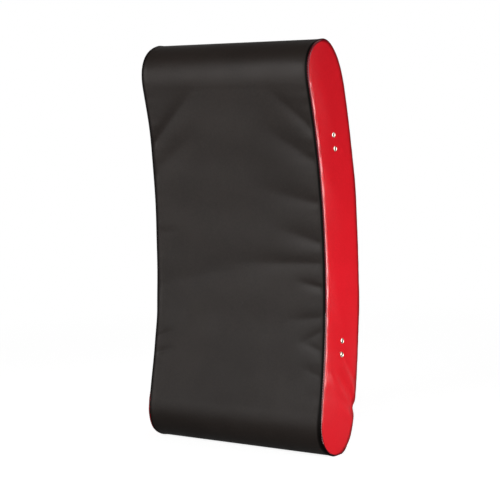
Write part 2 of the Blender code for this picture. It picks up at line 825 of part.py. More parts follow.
def make_loop(kind, part, word, side, sizes, padding):
    """One strap or grip: its sewn ends, their patches, the swinging webbing and its sleeve."""
    x = side * (half_width(MID_HEIGHT) - sizes["from_side"])
    for end, level in ((1, "upper"), (-1, "lower")):
        rise = loop_line(sizes, end * (half_moving(sizes) + SEAT_GAP / 2), end * sizes["half_span"])
        line = rise[:-1] + sewn_line(sizes, end)
        outline = ribbon_outline(line, sizes["webbing_sheet"], (0,))
        side_view_plate(f"{kind}_end_{word}_{level}", outline, sizes["webbing_width"], x, WEBBING)
        patch_line = sewn_line(sizes, end, PATCH_MARGIN, SEAT_GAP + PATCH_SHEET / 2)
        patch_width = sizes["webbing_width"] + 2 * PATCH_MARGIN
        patch = ribbon_outline(patch_line, PATCH_SHEET)
        side_view_plate(f"{kind}_patch_{word}_{level}", patch, patch_width, x, BLACK_COVER)

    y, middle = hinge_point(sizes)
    pivot = add_empty(f"{kind}_pivot_{word}", (x, y, middle))
    moving = half_moving(sizes) - SEAT_GAP / 2
    line = loop_line(sizes, -moving, moving)
    strap_outline = ribbon_outline(line, sizes["webbing_sheet"], (0, -1))
    strap = side_view_plate(f"{kind}_{word}", strap_outline, sizes["webbing_width"], x, WEBBING)
    half_sleeve = half_moving(sizes) - sizes["pad_end"]
    sleeve_line = loop_line(sizes, -half_sleeve, half_sleeve)
    sleeve_outline = ribbon_outline(sleeve_line, sizes["pad_thickness"])
    sleeve = side_view_plate(f"{part}_{word}", sleeve_outline, sizes["pad_width"], x, padding)
    soften(sleeve, sizes["pad_edge"])
    slot = ribbon_outline(line, sizes["webbing_sheet"] + 2 * SEAT_GAP, (0, -1))
    slot_width = sizes["webbing_width"] + 2 * SEAT_GAP
    cut(sleeve, side_view_plate(f"{part}_slot_{word}", slot, slot_width, x))
    hang_on(strap, pivot)
    hang_on(sleeve, pivot)


def start_collection(name):
    """A new collection in the scene."""
    collection = bpy.data.collections.new(name)
    bpy.context.scene.collection.children.link(collection)
    return collection


for old in list(bpy.data.objects):
    bpy.data.objects.remove(old)

PARTS = start_collection("rugby_hit_shield")
CUTTERS = start_collection("cutters")
BLACK_COVER = make_material("black_cover", (0.035, 0.033, 0.031), 0.5)
RED_COVER = make_material("red_cover", (0.55, 0.012, 0.018), 0.25)
FACE_FOAM_FINISH = make_material("face_foam", (0.75, 0.72, 0.62), 0.95)
CORE_FOAM_FINISH = make_material("core_foam", (0.3, 0.32, 0.36), 0.95)
WEBBING = make_material("webbing", (0.02, 0.02, 0.022), 0.85)
PADDING = make_material("padding", (0.03, 0.03, 0.032), 0.6)
GRIP_RUBBER = make_material("grip_rubber", (0.025, 0.025, 0.025), 0.7)
TAPE = make_material("zip_tape", (0.02, 0.02, 0.02), 0.9)
TEETH = make_material("zip_teeth", (0.03, 0.03, 0.03), 0.4)
NICKEL = make_material("nickel", (0.72, 0.69, 0.64), 0.3, 1.0)

make_foam()
make_front_cover()
make_back_cover("back_cover_upper", ZIP_OPENING / 2 - ZIP_RUN, STRAIGHT_BACK)
make_back_cover("back_cover_lower", -STRAIGHT_BACK, -ZIP_OPENING / 2 - ZIP_RUN)
make_zip()
make_slider()
for mirror, hand in ((-1, "left"), (1, "right")):
    make_side_panel(f"side_panel_{hand}", mirror)
    make_piping(f"piping_{hand}", mirror)
    make_vents(hand, mirror)
    make_loop("arm_strap", "arm_strap_pad", hand, mirror, ARM_STRAP, PADDING)
    make_loop("hand_grip", "hand_grip_sleeve", hand, mirror, HAND_GRIP, GRIP_RUBBER)
bpy.context.view_layer.update()
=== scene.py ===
"""Looks of a curved rugby hit shield: a foam pad in a black and red PVC cover, with straps on its back.

Metres, in the frame of the CAD part: X is the width, the impact face looks towards -Y and Z is up.
"""

import json
import math

import bmesh
import bpy
import numpy as np
from mathutils import Matrix, Vector

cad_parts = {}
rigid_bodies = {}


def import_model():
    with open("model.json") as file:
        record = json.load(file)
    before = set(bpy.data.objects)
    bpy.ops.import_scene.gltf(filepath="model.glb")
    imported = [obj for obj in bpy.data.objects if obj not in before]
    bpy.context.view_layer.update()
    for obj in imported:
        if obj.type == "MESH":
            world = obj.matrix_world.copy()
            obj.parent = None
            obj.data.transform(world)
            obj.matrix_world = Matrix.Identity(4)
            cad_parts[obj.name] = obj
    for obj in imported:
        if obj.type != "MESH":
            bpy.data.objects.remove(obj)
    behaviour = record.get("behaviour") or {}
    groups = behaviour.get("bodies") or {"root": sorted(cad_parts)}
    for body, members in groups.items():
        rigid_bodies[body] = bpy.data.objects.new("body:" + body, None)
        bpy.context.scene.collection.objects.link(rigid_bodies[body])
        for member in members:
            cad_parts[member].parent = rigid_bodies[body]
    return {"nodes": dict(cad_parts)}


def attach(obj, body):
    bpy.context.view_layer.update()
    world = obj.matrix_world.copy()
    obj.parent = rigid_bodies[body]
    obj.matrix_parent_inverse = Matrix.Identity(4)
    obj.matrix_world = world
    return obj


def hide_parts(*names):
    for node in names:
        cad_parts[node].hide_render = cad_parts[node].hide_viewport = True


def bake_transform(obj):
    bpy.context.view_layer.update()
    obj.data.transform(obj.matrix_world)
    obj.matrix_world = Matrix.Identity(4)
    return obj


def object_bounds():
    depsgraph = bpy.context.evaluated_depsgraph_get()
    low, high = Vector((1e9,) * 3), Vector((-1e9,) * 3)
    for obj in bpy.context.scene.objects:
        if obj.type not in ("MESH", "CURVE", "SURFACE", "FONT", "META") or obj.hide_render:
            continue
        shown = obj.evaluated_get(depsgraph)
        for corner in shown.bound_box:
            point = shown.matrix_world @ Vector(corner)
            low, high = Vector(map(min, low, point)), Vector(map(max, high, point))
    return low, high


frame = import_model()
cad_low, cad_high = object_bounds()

# The shield's shape, as in the CAD part.
SHIELD_LENGTH = 0.850
SHIELD_BOW = 0.058
THICKNESS = 0.130
BOTTOM_WIDTH = 0.4475
TOP_WIDTH = 0.4215
FRONT_ROLL = 0.081
BACK_ROLL = 0.120
FRONT_ROLL_POWER = 2.4
BACK_ROLL_POWER = 2.35
FRONT, BACK = -1, 1
ROLLS = {FRONT: (FRONT_ROLL, FRONT_ROLL_POWER), BACK: (BACK_ROLL, BACK_ROLL_POWER)}
ROLL_STEPS = 60
STRAIGHT_STEPS = 120
FACE_CROWN = 0.004
SIDE_CROWN = 0.004
SEAT_GAP = 0.0003
SHEET = 0.001
BEAD_RADIUS = 0.0032
BEAD_INSET = BEAD_RADIUS + SEAT_GAP
SEAM_MARGIN = 2 * BEAD_RADIUS + SEAT_GAP
LOWER_BACK_SHEET = 0.055
ZIP_OPENING = 0.030

# Eyelets in the side panels.
VENTS_FROM_TOP = 0.209
VENTS_FROM_BOTTOM = 0.224
VENT_PITCH = 0.0288
VENT_OUT = -0.008
VENT_BORE = 0.00325
VENT_BARREL = 0.004
VENT_FLANGE = 0.0057
VENT_CREST = 0.0013
VENT_DEPTH = 0.003
VENT_RING_SHARE = 0.23

# Straps and grips on the back.
PATCH_SHEET = 0.0009
PATCH_MARGIN = 0.010
LOOP_POWER = 2.6
WEBBING_SHEET = 0.0022
STRAP_TAB = 0.050
STRAP_SPAN_SHARE = 0.758

# Worked out from the sizes above.
BOW_RADIUS = (SHIELD_LENGTH ** 2 / 4 + SHIELD_BOW ** 2) / (2 * SHIELD_BOW)
HALF_TURN = math.asin(SHIELD_LENGTH / 2 / BOW_RADIUS)
HALF_RUN = BOW_RADIUS * HALF_TURN
STRAIGHT_BACK = HALF_RUN - BACK_ROLL
STRAIGHT_FRONT = HALF_RUN - FRONT_ROLL
ZIP_RUN = STRAIGHT_BACK - LOWER_BACK_SHEET - ZIP_OPENING / 2
ZIP_TOP, ZIP_FOOT = ZIP_OPENING / 2 - ZIP_RUN, -ZIP_OPENING / 2 - ZIP_RUN
ARM_STRAP = {
    "from_side": 0.080,
    "half_span": STRAP_SPAN_SHARE * (ZIP_RUN - ZIP_OPENING / 2 - PATCH_MARGIN - STRAP_TAB),
    "height": 0.065,
    "width": 0.050,
    "tab": STRAP_TAB,
    "moving_share": 0.64,
    "pad_end": 0.006,
    "pad_width": 0.060,
    "pad_thickness": 0.014,
}
HAND_GRIP = {
    "from_side": 0.164,
    "half_span": 0.075,
    "height": 0.048,
    "width": 0.025,
    "tab": 0.034,
    "moving_share": 0.64,
    "pad_end": 0.006,
    "pad_width": 0.033,
    "pad_thickness": 0.021,
}

# How finely the cover is modelled, how its edges turn into the seams, and the painted shade along them.
GRID_STEP = 0.0032
WRAP_RADIUS = BEAD_RADIUS + SEAT_GAP + SHEET
WRAP_STEPS = 7
END_TUCK = 0.0018
END_EASE = 0.006
SEAM_EASE = 0.011
SEAM_SHADE = 0.96
SHADE_REACH_LEFT, SHADE_REACH_RIGHT, SHADE_REACH_LOW = 0.00455, 0.00715, 0.00325
SHADE_EASE_SHARE = 0.55
PUCKER_DEPTH = 0.0005
PUCKER_LONGEST, PUCKER_SHORTEST = 0.060, 0.018
PUCKER_REACH = 0.020
STITCH_PITCH = 0.0055
STITCH_LENGTH = 0.0040
THREAD_RADIUS = 0.00050


def smooth(value):
    """An eased step from 0 to 1."""
    value = np.clip(value, 0, 1)
    return value * value * (3 - 2 * value)


def below(limit, value, ease):
    """An eased step from 0 at a limit to 1 further down."""
    return smooth((limit - value) / ease)


def span(count):
    """Places from -1 to 1, closer together towards both ends."""
    return np.sin(np.linspace(-math.pi / 2, math.pi / 2, count))


def full_turn(count):
    """Even angles round a circle."""
    return np.linspace(0, 2 * math.pi, count, endpoint=False)


def bow_point(run, out):
    """Side view place of a run along the bowed centre line and a way out of it, towards the back."""
    turn = run / BOW_RADIUS
    reach = BOW_RADIUS + out
    return reach * np.cos(turn) - BOW_RADIUS * math.cos(HALF_TURN), reach * np.sin(turn)


def roll_curve(corner):
    """The rounding of the top end on one side, from the tip inwards."""
    roll, power = ROLLS[corner]
    angle = np.linspace(0, math.pi / 2, ROLL_STEPS)
    run = HALF_RUN - roll * (1 - np.cos(angle) ** (2 / power))
    return run, corner * THICKNESS / 2 * np.sin(angle) ** (2 / power)


def wrap_places():
    """From the lower seam on the back, round the bottom end, up the front and over the top."""
    back_run, back_out = roll_curve(BACK)
    front_run, front_out = roll_curve(FRONT)
    face = np.linspace(-STRAIGHT_FRONT, STRAIGHT_FRONT, STRAIGHT_STEPS)[1:-1]
    flat = np.full(len(face), -THICKNESS / 2)
    run = np.concatenate([-back_run[::-1], -front_run[1:], face, front_run[::-1], back_run[1:]])
    out = np.concatenate([back_out[::-1], front_out[1:], flat, front_out[::-1], back_out[1:]])
    return run, out


# The part stands on z = 0 with the middle of its foot at y = 0, so its box gives the two shifts.
WRAP_Y, WRAP_Z = bow_point(*wrap_places())
MID_HEIGHT = cad_high.z - float(WRAP_Z.max())
FOOT_MIDDLE = float(WRAP_Y.min()) - cad_low.y
SHIELD_HEIGHT = cad_high.z


def half_width(z):
    """Half the width between the two side seams at a height."""
    return (BOTTOM_WIDTH + (TOP_WIDTH - BOTTOM_WIDTH) * z / SHIELD_HEIGHT) / 2


def placed(run, out):
    """The depth and height, in the part's frame, of a run and a way out."""
    y, z = bow_point(run, out)
    return y - FOOT_MIDDLE, z + MID_HEIGHT


def bow_place(y, z):
    """The run and the way out of a depth and height in the part's frame."""
    across = y + FOOT_MIDDLE + BOW_RADIUS * math.cos(HALF_TURN)
    up = z - MID_HEIGHT
    return BOW_RADIUS * np.arctan2(up, across), np.hypot(across, up) - BOW_RADIUS


def half_depth(run, corner, inset):
    """How far the outline stands from the bowed centre line, moved in by an inset."""
    roll, power = ROLLS[corner]
    past = np.clip((np.abs(run) - (HALF_RUN - roll)) / (roll - inset), 0, 1)
    return (THICKNESS / 2 - inset) * (1 - past ** power) ** (1 / power)


def distances(y, z):
    """How far each place of a line lies along it."""
    return np.concatenate([[0], np.cumsum(np.hypot(np.diff(y), np.diff(z)))])


class SideLine:
    """A side view line with even steps: its places, its outward directions and its run and out."""

    def __init__(self, run, out, closed=False, step=GRID_STEP):
        y, z = bow_point(run, out)
        along = distances(y, z)
        even = np.linspace(0, along[-1], max(2, round(along[-1] / step)) + 1)
        if closed:
            even = even[:-1]
        self.along = even
        self.length = along[-1]
        self.run = np.interp(even, along, run)
        self.out = np.interp(even, along, out)
        self.y, z = placed(self.run, self.out)
        self.z = np.maximum(z, 0)
        if closed:
            ahead_y = np.roll(self.y, -1) - np.roll(self.y, 1)
            ahead_z = np.roll(self.z, -1) - np.roll(self.z, 1)
        else:
            ahead_y, ahead_z = np.gradient(self.y), np.gradient(self.z)
        size = np.hypot(ahead_y, ahead_z)
        self.normal_y, self.normal_z = -ahead_z / size, ahead_y / size


def loop_places():
    """The whole outline: the wrap and then down the back."""
    run, out = wrap_places()
    down = np.linspace(STRAIGHT_BACK, -STRAIGHT_BACK, STRAIGHT_STEPS)[1:]
    return np.concatenate([run, down]), np.concatenate([out, np.full(len(down), THICKNESS / 2)])


WAVE_COUNT = 7
WAVE_LEVEL_SHARE = 0.45


def waves(along, seed, longest, shortest):
    """Uneven waves along a line, about -1 to 1."""
    draw = np.random.default_rng(seed)
    total = np.zeros_like(along)
    for _ in range(WAVE_COUNT):
        size = shortest + (longest - shortest) * draw.random()
        total += np.sin(2 * math.pi * (along / size + draw.random())) * (0.5 + 0.5 * draw.random())
    return total / (WAVE_LEVEL_SHARE * WAVE_COUNT)


# Folds of the face: inner end and seam end as (x, run), width at each, and depth at the seam.
FACE_FOLDS = (
    ((0.090, 0.3660), (0.2090, 0.2540), 0.0230, 0.0130, 0.0034),
    ((0.055, 0.2860), (0.2095, 0.1850), 0.0420, 0.0220, 0.0041),
    ((0.015, 0.1430), (0.2095, 0.0980), 0.0500, 0.0180, 0.0030),
    ((0.080, 0.0510), (0.2100, 0.0140), 0.0300, 0.0150, 0.0028),
    ((-0.040, -0.0350), (0.2105, -0.0270), 0.0320, 0.0120, 0.0024),
    ((0.120, -0.0240), (-0.2100, -0.0880), 0.0440, 0.0320, 0.0025),
    ((0.130, -0.0640), (0.2120, -0.0810), 0.0150, 0.0075, 0.0022),
    ((0.105, -0.1560), (0.2120, -0.1420), 0.0200, 0.0100, 0.0016),
    ((0.145, -0.2060), (0.2130, -0.1720), 0.0160, 0.0090, 0.0016),
    ((0.150, -0.1960), (0.2130, -0.2150), 0.0160, 0.0085, 0.0020),
    ((0.155, -0.2500), (0.2140, -0.2680), 0.0150, 0.0085, 0.0014),
    ((-0.050, 0.3780), (-0.2070, 0.2280), 0.0260, 0.0150, 0.0040),
    ((-0.060, 0.2800), (-0.2080, 0.1620), 0.0400, 0.0260, 0.0034),
    ((-0.150, 0.0350), (-0.2100, 0.0240), 0.0150, 0.0100, 0.0007),
    ((-0.165, -0.1930), (-0.2130, -0.2110), 0.0100, 0.0065, 0.0016),
    ((-0.160, -0.2310), (-0.2130, -0.2490), 0.0100, 0.0065, 0.0014),
)
# Sections of the folds, as shares of a fold's width and depth.
VALLEY_POWER = 0.75
VALLEY_FLOOR_SHARE = 0.02
VALLEY_REACH_SHARE = 0.9
RIDGE_HEIGHT_SHARE = 0.75
RIDGE_PLACE_SHARE = -1.1
RIDGE_REACH_SHARE = 0.95
GROOVE_PLACE_SHARE = 0.25
GROOVE_REACH_SHARE = 0.7
# Along a fold: how wide it gets at most, how fast it deepens, and where it ends past the seam.
FOLD_SPREAD_SHARE = 1.2
FOLD_RISE_SHARE = 0.75
FOLD_END_SHARE = 1.15
FOLD_FADE_SHARE = 0.3


def valley(place):
    """A fold's section: a narrow valley with soft shoulders."""
    return -np.exp(-(((place / VALLEY_REACH_SHARE) ** 2 + VALLEY_FLOOR_SHARE) ** VALLEY_POWER))


def ridge_and_valley(place):
    """A fold's section: a valley over a ridge."""
    ridge = np.exp(-(((place - RIDGE_PLACE_SHARE) / RIDGE_REACH_SHARE) ** 2))
    return RIDGE_HEIGHT_SHARE * ridge - np.exp(-(((place - GROOVE_PLACE_SHARE) / GROOVE_REACH_SHARE) ** 2))


def folds(x, run, table, section):
    """Soft folds that are narrow at a seam, and widen and fade inwards."""
    total = np.zeros_like(x)
    for (x0, run0), (x1, run1), inner, width, depth in table:
        reach = math.hypot(x1 - x0, run1 - run0)
        along = ((x - x0) * (x1 - x0) + (run - run0) * (run1 - run0)) / reach ** 2
        across = ((run - run0) * abs(x1 - x0) - (x - x0) * (run1 - run0) * np.sign(x1 - x0)) / reach
        spread = width + (inner - width) * np.clip(1 - along, 0, FOLD_SPREAD_SHARE)
        fade = smooth((along - FOLD_END_SHARE) / FOLD_FADE_SHARE)
        strength = smooth(along / FOLD_RISE_SHARE) * (1 - fade)
        total += depth * np.sqrt(spread / width) * strength * section(across / spread)
    return total


def grid_faces(rows, columns, closed_rows=False, closed_columns=False):
    """Quads of a grid of points."""
    faces = []
    for row in range(rows if closed_rows else rows - 1):
        low = row * columns
        high = ((row + 1) % rows) * columns
        for column in range(columns if closed_columns else columns - 1):
            following = (column + 1) % columns
            faces.append((low + column, low + following, high + following, high + column))
    return faces


def tube_faces(rings, sides):
    """Quads round a row of closed rings, and a cap at both ends."""
    caps = [tuple(range(sides))[::-1], tuple(range((rings - 1) * sides, rings * sides))]
    return grid_faces(rings, sides, False, True) + caps


def repeated(faces, count, size):
    """The same faces for each of several blocks of points."""
    return [tuple(corner + block * size for corner in face) for block in range(count) for face in faces]


SMOOTH_ANGLE = math.radians(50)


def new_piece(name, points, faces, material, smooth_angle=SMOOTH_ANGLE):
    """A smooth shaded mesh object."""
    mesh = bpy.data.meshes.new(name)
    mesh.from_pydata(np.reshape(points, (-1, 3)).tolist(), [], faces)
    mesh.validate()
    mesh.shade_smooth()
    mesh.set_sharp_from_angle(angle=smooth_angle)
    piece = bpy.data.objects.new(name, mesh)
    bpy.context.scene.collection.objects.link(piece)
    mesh.materials.append(material)
    return piece


def thicken(piece, thickness=SHEET):
    """Give a sheet its thickness on the inner side."""
    shell = piece.modifiers.new("sheet", "SOLIDIFY")
    shell.thickness = thickness
    shell.offset = -1


# Uneven places of the seams: side, run, size, push inwards across and through, corner and reach.
DENTS = (
    (1, -0.328, 0.0110, 0.0032, 0.0038, BACK, 0.020),
    (1, -0.388, 0.0300, -0.0012, -0.0014, BACK, 0.030),
    (1, -0.118, 0.0400, -0.0004, -0.0016, BACK, 0.030),
    (1, 0.120, 0.0500, -0.0004, -0.0018, BACK, 0.030),
    (1, -0.375, 0.0450, 0.0000, 0.0014, FRONT, 0.016),
    (-1, 0.260, 0.0600, 0.0020, 0.0000, FRONT, 0.030),
    (-1, 0.010, 0.0600, -0.0013, 0.0000, FRONT, 0.030),
    (-1, -0.165, 0.0350, 0.0016, 0.0000, FRONT, 0.030),
    (-1, -0.310, 0.0500, -0.0012, 0.0000, FRONT, 0.030),
)


def shaped(points):
    """Points of the cover with the uneven places of its seams pushed in or out."""
    points = np.array(points, dtype=float)
    run, out = bow_place(points[..., 1], points[..., 2])
    edge = half_width(points[..., 2])
    for side, place, size, push_x, push_out, corner, reach in DENTS:
        skin = half_depth(np.clip(run, -HALF_RUN, HALF_RUN), corner, 0)
        far = np.maximum(edge - side * points[..., 0], 0) + np.maximum(skin - corner * out, 0)
        share = np.exp(-(((run - place) / size) ** 2)) * np.exp(-((far / reach) ** 2))
        points[..., 0] -= side * push_x * share
        points[..., 1] -= corner * push_out * share * np.cos(run / BOW_RADIUS)
        points[..., 2] -= corner * push_out * share * np.sin(run / BOW_RADIUS)
    points[..., 2] = np.maximum(points[..., 2], 0)
    return points


# How far the black sheet turns over the beads, in degrees, and the runs past which that changes.
WRAP_ON_BACK = 4
WRAP_ON_RIGHT_FRONT, WRAP_RIGHT_LOW, WRAP_RIGHT_UNDER = 3, 27, 36
WRAP_ON_LEFT_FRONT, WRAP_LEFT_LOW, WRAP_LEFT_FOOT = 60, -20, -38
LOW_RUN, LOW_EASE = -0.30, 0.08
UNDER_RUN, UNDER_EASE = -0.400, 0.020
FOOT_RUN, FOOT_OUT, FOOT_EASE = -0.325, 0.030, 0.030


def wrap_angle(side, line):
    """How far the black sheet turns over the bead at a side seam, in radians."""
    front = smooth(-line.out / THICKNESS + 0.5)
    low = below(LOW_RUN, line.run, LOW_EASE) * front
    if side > 0:
        under = below(UNDER_RUN, line.run, UNDER_EASE)
        return np.radians(WRAP_ON_BACK + WRAP_ON_RIGHT_FRONT * front + WRAP_RIGHT_LOW * low
                          + WRAP_RIGHT_UNDER * under)
    foot = below(FOOT_RUN, line.run, FOOT_EASE) * below(FOOT_OUT, line.out, FOOT_EASE)
    return np.radians(WRAP_ON_BACK + WRAP_ON_LEFT_FRONT * front + WRAP_LEFT_LOW * low
                      + WRAP_LEFT_FOOT * foot * front)


def quarter_dip(distance, radius):
    """How far a sheet has turned down at a distance from its edge."""
    inside = np.clip(1 - distance / radius, 0, 1)
    return radius * (1 - np.sqrt(1 - inside ** 2))


def sheet_points(line, lift):
    """Rows of points across a sheet of the cover, which turns over the beads at both side seams."""
    edge = (half_width(line.z) - BEAD_RADIUS)[:, None]
    inner = np.linspace(-1, 1, round(2 * float(edge.mean()) / GRID_STEP))
    flat = inner * edge
    run = line.run[:, None] + 0 * flat
    ends = np.minimum(line.along, line.length - line.along)[:, None]
    near_seam = smooth((np.abs(flat) - edge + SEAM_EASE) / SEAM_EASE)
    rise = lift(flat, run, line, edge) * (1 - near_seam)
    rise = rise * smooth(ends / END_EASE) + (WRAP_RADIUS - BEAD_RADIUS - SEAT_GAP) * near_seam
    turn = np.linspace(0, 1, WRAP_STEPS + 1)[1:]
    over = {}
    for side in (-1, 1):
        angle = wrap_angle(side, line)[:, None] * turn
        over[side] = (side * (edge + WRAP_RADIUS * np.sin(angle)),
                      WRAP_RADIUS * np.cos(angle) - BEAD_RADIUS - SEAT_GAP)
    x = np.concatenate([over[-1][0][:, ::-1], flat, over[1][0]], axis=1)
    rise = np.concatenate([over[-1][1][:, ::-1], rise, over[1][1]], axis=1)
    # Painted shade along both side seams: on the edge turned over the bead and on a strip beside it, wider at
    # the lower right where the face rounds off.
    low = (below(LOW_RUN, line.run, LOW_EASE) * (line.out < 0))[:, None]
    reach = np.where(flat > 0, SHADE_REACH_RIGHT + SHADE_REACH_LOW * low, SHADE_REACH_LEFT)
    close = SEAM_SHADE * smooth((np.abs(flat) - edge + reach) / (SHADE_EASE_SHARE * reach))
    rolled = np.broadcast_to(SEAM_SHADE + (1 - SEAM_SHADE) * turn, (len(line.run), len(turn)))
    seam = np.concatenate([rolled[:, ::-1], close, rolled], axis=1)
    rise = rise - quarter_dip(ends, END_TUCK)
    y = line.y[:, None] + line.normal_y[:, None] * rise
    z = np.maximum(line.z[:, None] + line.normal_z[:, None] * rise, 0)
    return shaped(np.stack([x, y, z], axis=2)), seam


def seam_puckers(x, line, edge, seed):
    """Small gathers along both side seams."""
    total = np.zeros_like(x)
    for side in (-1, 1):
        ripple = waves(line.along, seed + side, PUCKER_LONGEST, PUCKER_SHORTEST)[:, None]
        total += PUCKER_DEPTH * ripple * np.exp(-(edge - side * x) / PUCKER_REACH)
    return total


# Where the face is folded, and its broad wave: depth, lengths, start and lower fade.
FOLDED_RUN, FOLDED_EASE = 0.41, 0.03
FACE_WAVE, FACE_WAVE_RUN, FACE_WAVE_ACROSS, FACE_WAVE_START_SHARE = 0.0003, 0.115, 0.9, 0.1
FACE_WAVE_LOW, FACE_WAVE_EASE = 0.15, 0.2
FACE_SEED = 11
BACK_WAVE, BACK_WAVE_RUN, BACK_WAVE_ACROSS, BACK_WAVE_TURNS = 0.0005, 0.16, 0.31, 21
UPPER_BACK_SEED, LOWER_BACK_SEED = 23, 31


def face_lift(x, run, line, edge):
    """The impact face's crown, folds and gathers."""
    along = np.clip(np.abs(run) / STRAIGHT_FRONT, 0, 1)
    front = (line.out < 0)[:, None]
    crown = FACE_CROWN * (1 - along ** 4) * (1 - (x / edge) ** 2) * front
    on_face = below(FOLDED_RUN, np.abs(run), FOLDED_EASE) * front
    phase = run / FACE_WAVE_RUN + x / FACE_WAVE_ACROSS + FACE_WAVE_START_SHARE
    broad = FACE_WAVE * np.sin(2 * math.pi * phase) * smooth((run + FACE_WAVE_LOW) / FACE_WAVE_EASE + 1)
    creased = folds(x, run, FACE_FOLDS, valley)
    return crown + on_face * (creased + broad) + seam_puckers(x, line, edge, FACE_SEED)


def back_lift(seed):
    """A lift for a sheet of the back: gathers and slow waves."""
    def lift(x, run, line, edge):
        phase = run / BACK_WAVE_RUN + x / BACK_WAVE_ACROSS + seed
        broad = BACK_WAVE * np.sin(2 * math.pi * phase) * np.cos(x * BACK_WAVE_TURNS + seed)
        return seam_puckers(x, line, edge, seed) + broad
    return lift


def mark(piece, name, values):
    """Keep a number for each point, for the materials."""
    layer = piece.data.attributes.new(name, "FLOAT", "POINT")
    layer.data.foreach_set("value", np.ascontiguousarray(values, dtype=np.float32).ravel())


def dress(piece, slot, *nodes, body="shield"):
    """Fasten a piece to its body, in place of its CAD solids, which it hides. The slot is not used."""
    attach(piece, body)
    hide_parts(*nodes)


def make_sheet(name, line, lift, node):
    """One black sheet of the cover, in place of its CAD solid."""
    points, seam = sheet_points(line, lift)
    piece = new_piece(name, points, grid_faces(*points.shape[:2]), BLACK)
    mark(piece, "seam", seam)
    thicken(piece)
    dress(piece, "black_cover", node)


def eased(nodes, links, value, low, high, low_out=0.0, high_out=1.0):
    """A smooth step of a node value."""
    node = nodes.new("ShaderNodeMapRange")
    node.interpolation_type = "SMOOTHSTEP"
    for slot, number in zip(("From Min", "From Max", "To Min", "To Max"), (low, high, low_out, high_out)):
        node.inputs[slot].default_value = number
    links.new(value, node.inputs["Value"])
    return node.outputs["Result"]


def combine(nodes, links, operation, first, second):
    """A math node on two node values or numbers."""
    node = nodes.new("ShaderNodeMath")
    node.operation = operation
    for slot, value in enumerate((first, second)):
        if isinstance(value, (int, float)):
            node.inputs[slot].default_value = value
        else:
            links.new(value, node.inputs[slot])
    return node.outputs[0]


class Finish:
    """A material with a Principled shader and helpers for its pattern nodes, in metres on the piece."""

    def __init__(self, name):
        self.material = bpy.data.materials.new(name)
        self.material.use_nodes = True
        self.nodes = self.material.node_tree.nodes
        self.links = self.material.node_tree.links
        self.shader = self.nodes["Principled BSDF"]
        self.place = self.nodes.new("ShaderNodeTexCoord").outputs["Object"]
        self.height = None

    def pattern(self, kind, place, **values):
        """A texture node at a place, with some of its inputs set."""
        node = self.nodes.new(kind)
        for slot, value in values.items():
            node.inputs[slot].default_value = value
        self.links.new(place or self.place, node.inputs["Vector"])
        return node

    def noise(self, scale, detail=3.0, rough=0.5, place=None, stretch=None, distortion=0.0):
        if stretch:
            place = self.pattern("ShaderNodeMapping", place, Scale=stretch).outputs["Vector"]
        node = self.pattern("ShaderNodeTexNoise", place, Scale=scale, Detail=detail, Roughness=rough,
                            Distortion=distortion)
        return node.outputs["Fac"]

    def cells(self, scale):
        return self.pattern("ShaderNodeTexVoronoi", None, Scale=scale).outputs["Distance"]

    def bands(self, period, direction, place=None, distortion=0.0):
        node = self.pattern("ShaderNodeTexWave", place, Scale=math.pi / 10 / period, Distortion=distortion,
                            Detail=1.0)
        node.bands_direction = direction
        return node.outputs["Fac"]

    def kept(self, name):
        """A number kept for each point of the piece."""
        node = self.nodes.new("ShaderNodeAttribute")
        node.attribute_name = name
        return node.outputs["Fac"]

    def math(self, operation, first, second):
        return combine(self.nodes, self.links, operation, first, second)

    def ramp(self, value, *limits):
        return eased(self.nodes, self.links, value, *limits)

    def mix(self, share, first, second):
        node = self.nodes.new("ShaderNodeMix")
        node.data_type = "RGBA"
        self.links.new(share, node.inputs["Factor"])
        for slot, colour in (("A", first), ("B", second)):
            socket = [s for s in node.inputs if s.name == slot and s.type == "RGBA"][0]
            if isinstance(colour, tuple):
                socket.default_value = (*colour, 1)
            else:
                self.links.new(colour, socket)
        return [s for s in node.outputs if s.type == "RGBA"][0]

    def feed(self, slot, value):
        self.links.new(value, self.shader.inputs[slot])

    def bump(self, height, distance, strength):
        node = self.nodes.new("ShaderNodeBump")
        node.inputs["Strength"].default_value = strength
        node.inputs["Distance"].default_value = distance
        self.links.new(height, node.inputs["Height"])
        if self.height is not None:
            self.links.new(self.height, node.inputs["Normal"])
        self.height = node.outputs["Normal"]
        self.feed("Normal", self.height)


# Gloss and painted shade colour of the coated fabric at its seams, and the depths and periods of the
# materials' textures.
GLEAM_GLOSS = 0.5
SEAM_SHADE_COLOUR_SHARE = SEAM_GLOSS_SHARE = 0.2
WEAVE_DEPTH, GRAIN_DEPTH, ROUGHNESS_DEPTH, HANDLED_DEPTH = 0.00003, 0.00006, 0.00010, 0.0007
RIB_PERIOD, PICK_PERIOD, RIB_DEPTH, FIBRE_DEPTH = 0.0016, 0.0011, 0.0003, 0.00008
CELL_DEPTH, CUT_DEPTH = 0.0006, 0.001
SCRATCH_DEPTH, MOULD_DEPTH = 0.00002, 0.00004
KNIT_ACROSS, KNIT_ALONG, KNIT_DEPTH = 0.0009, 0.0013, 0.0002


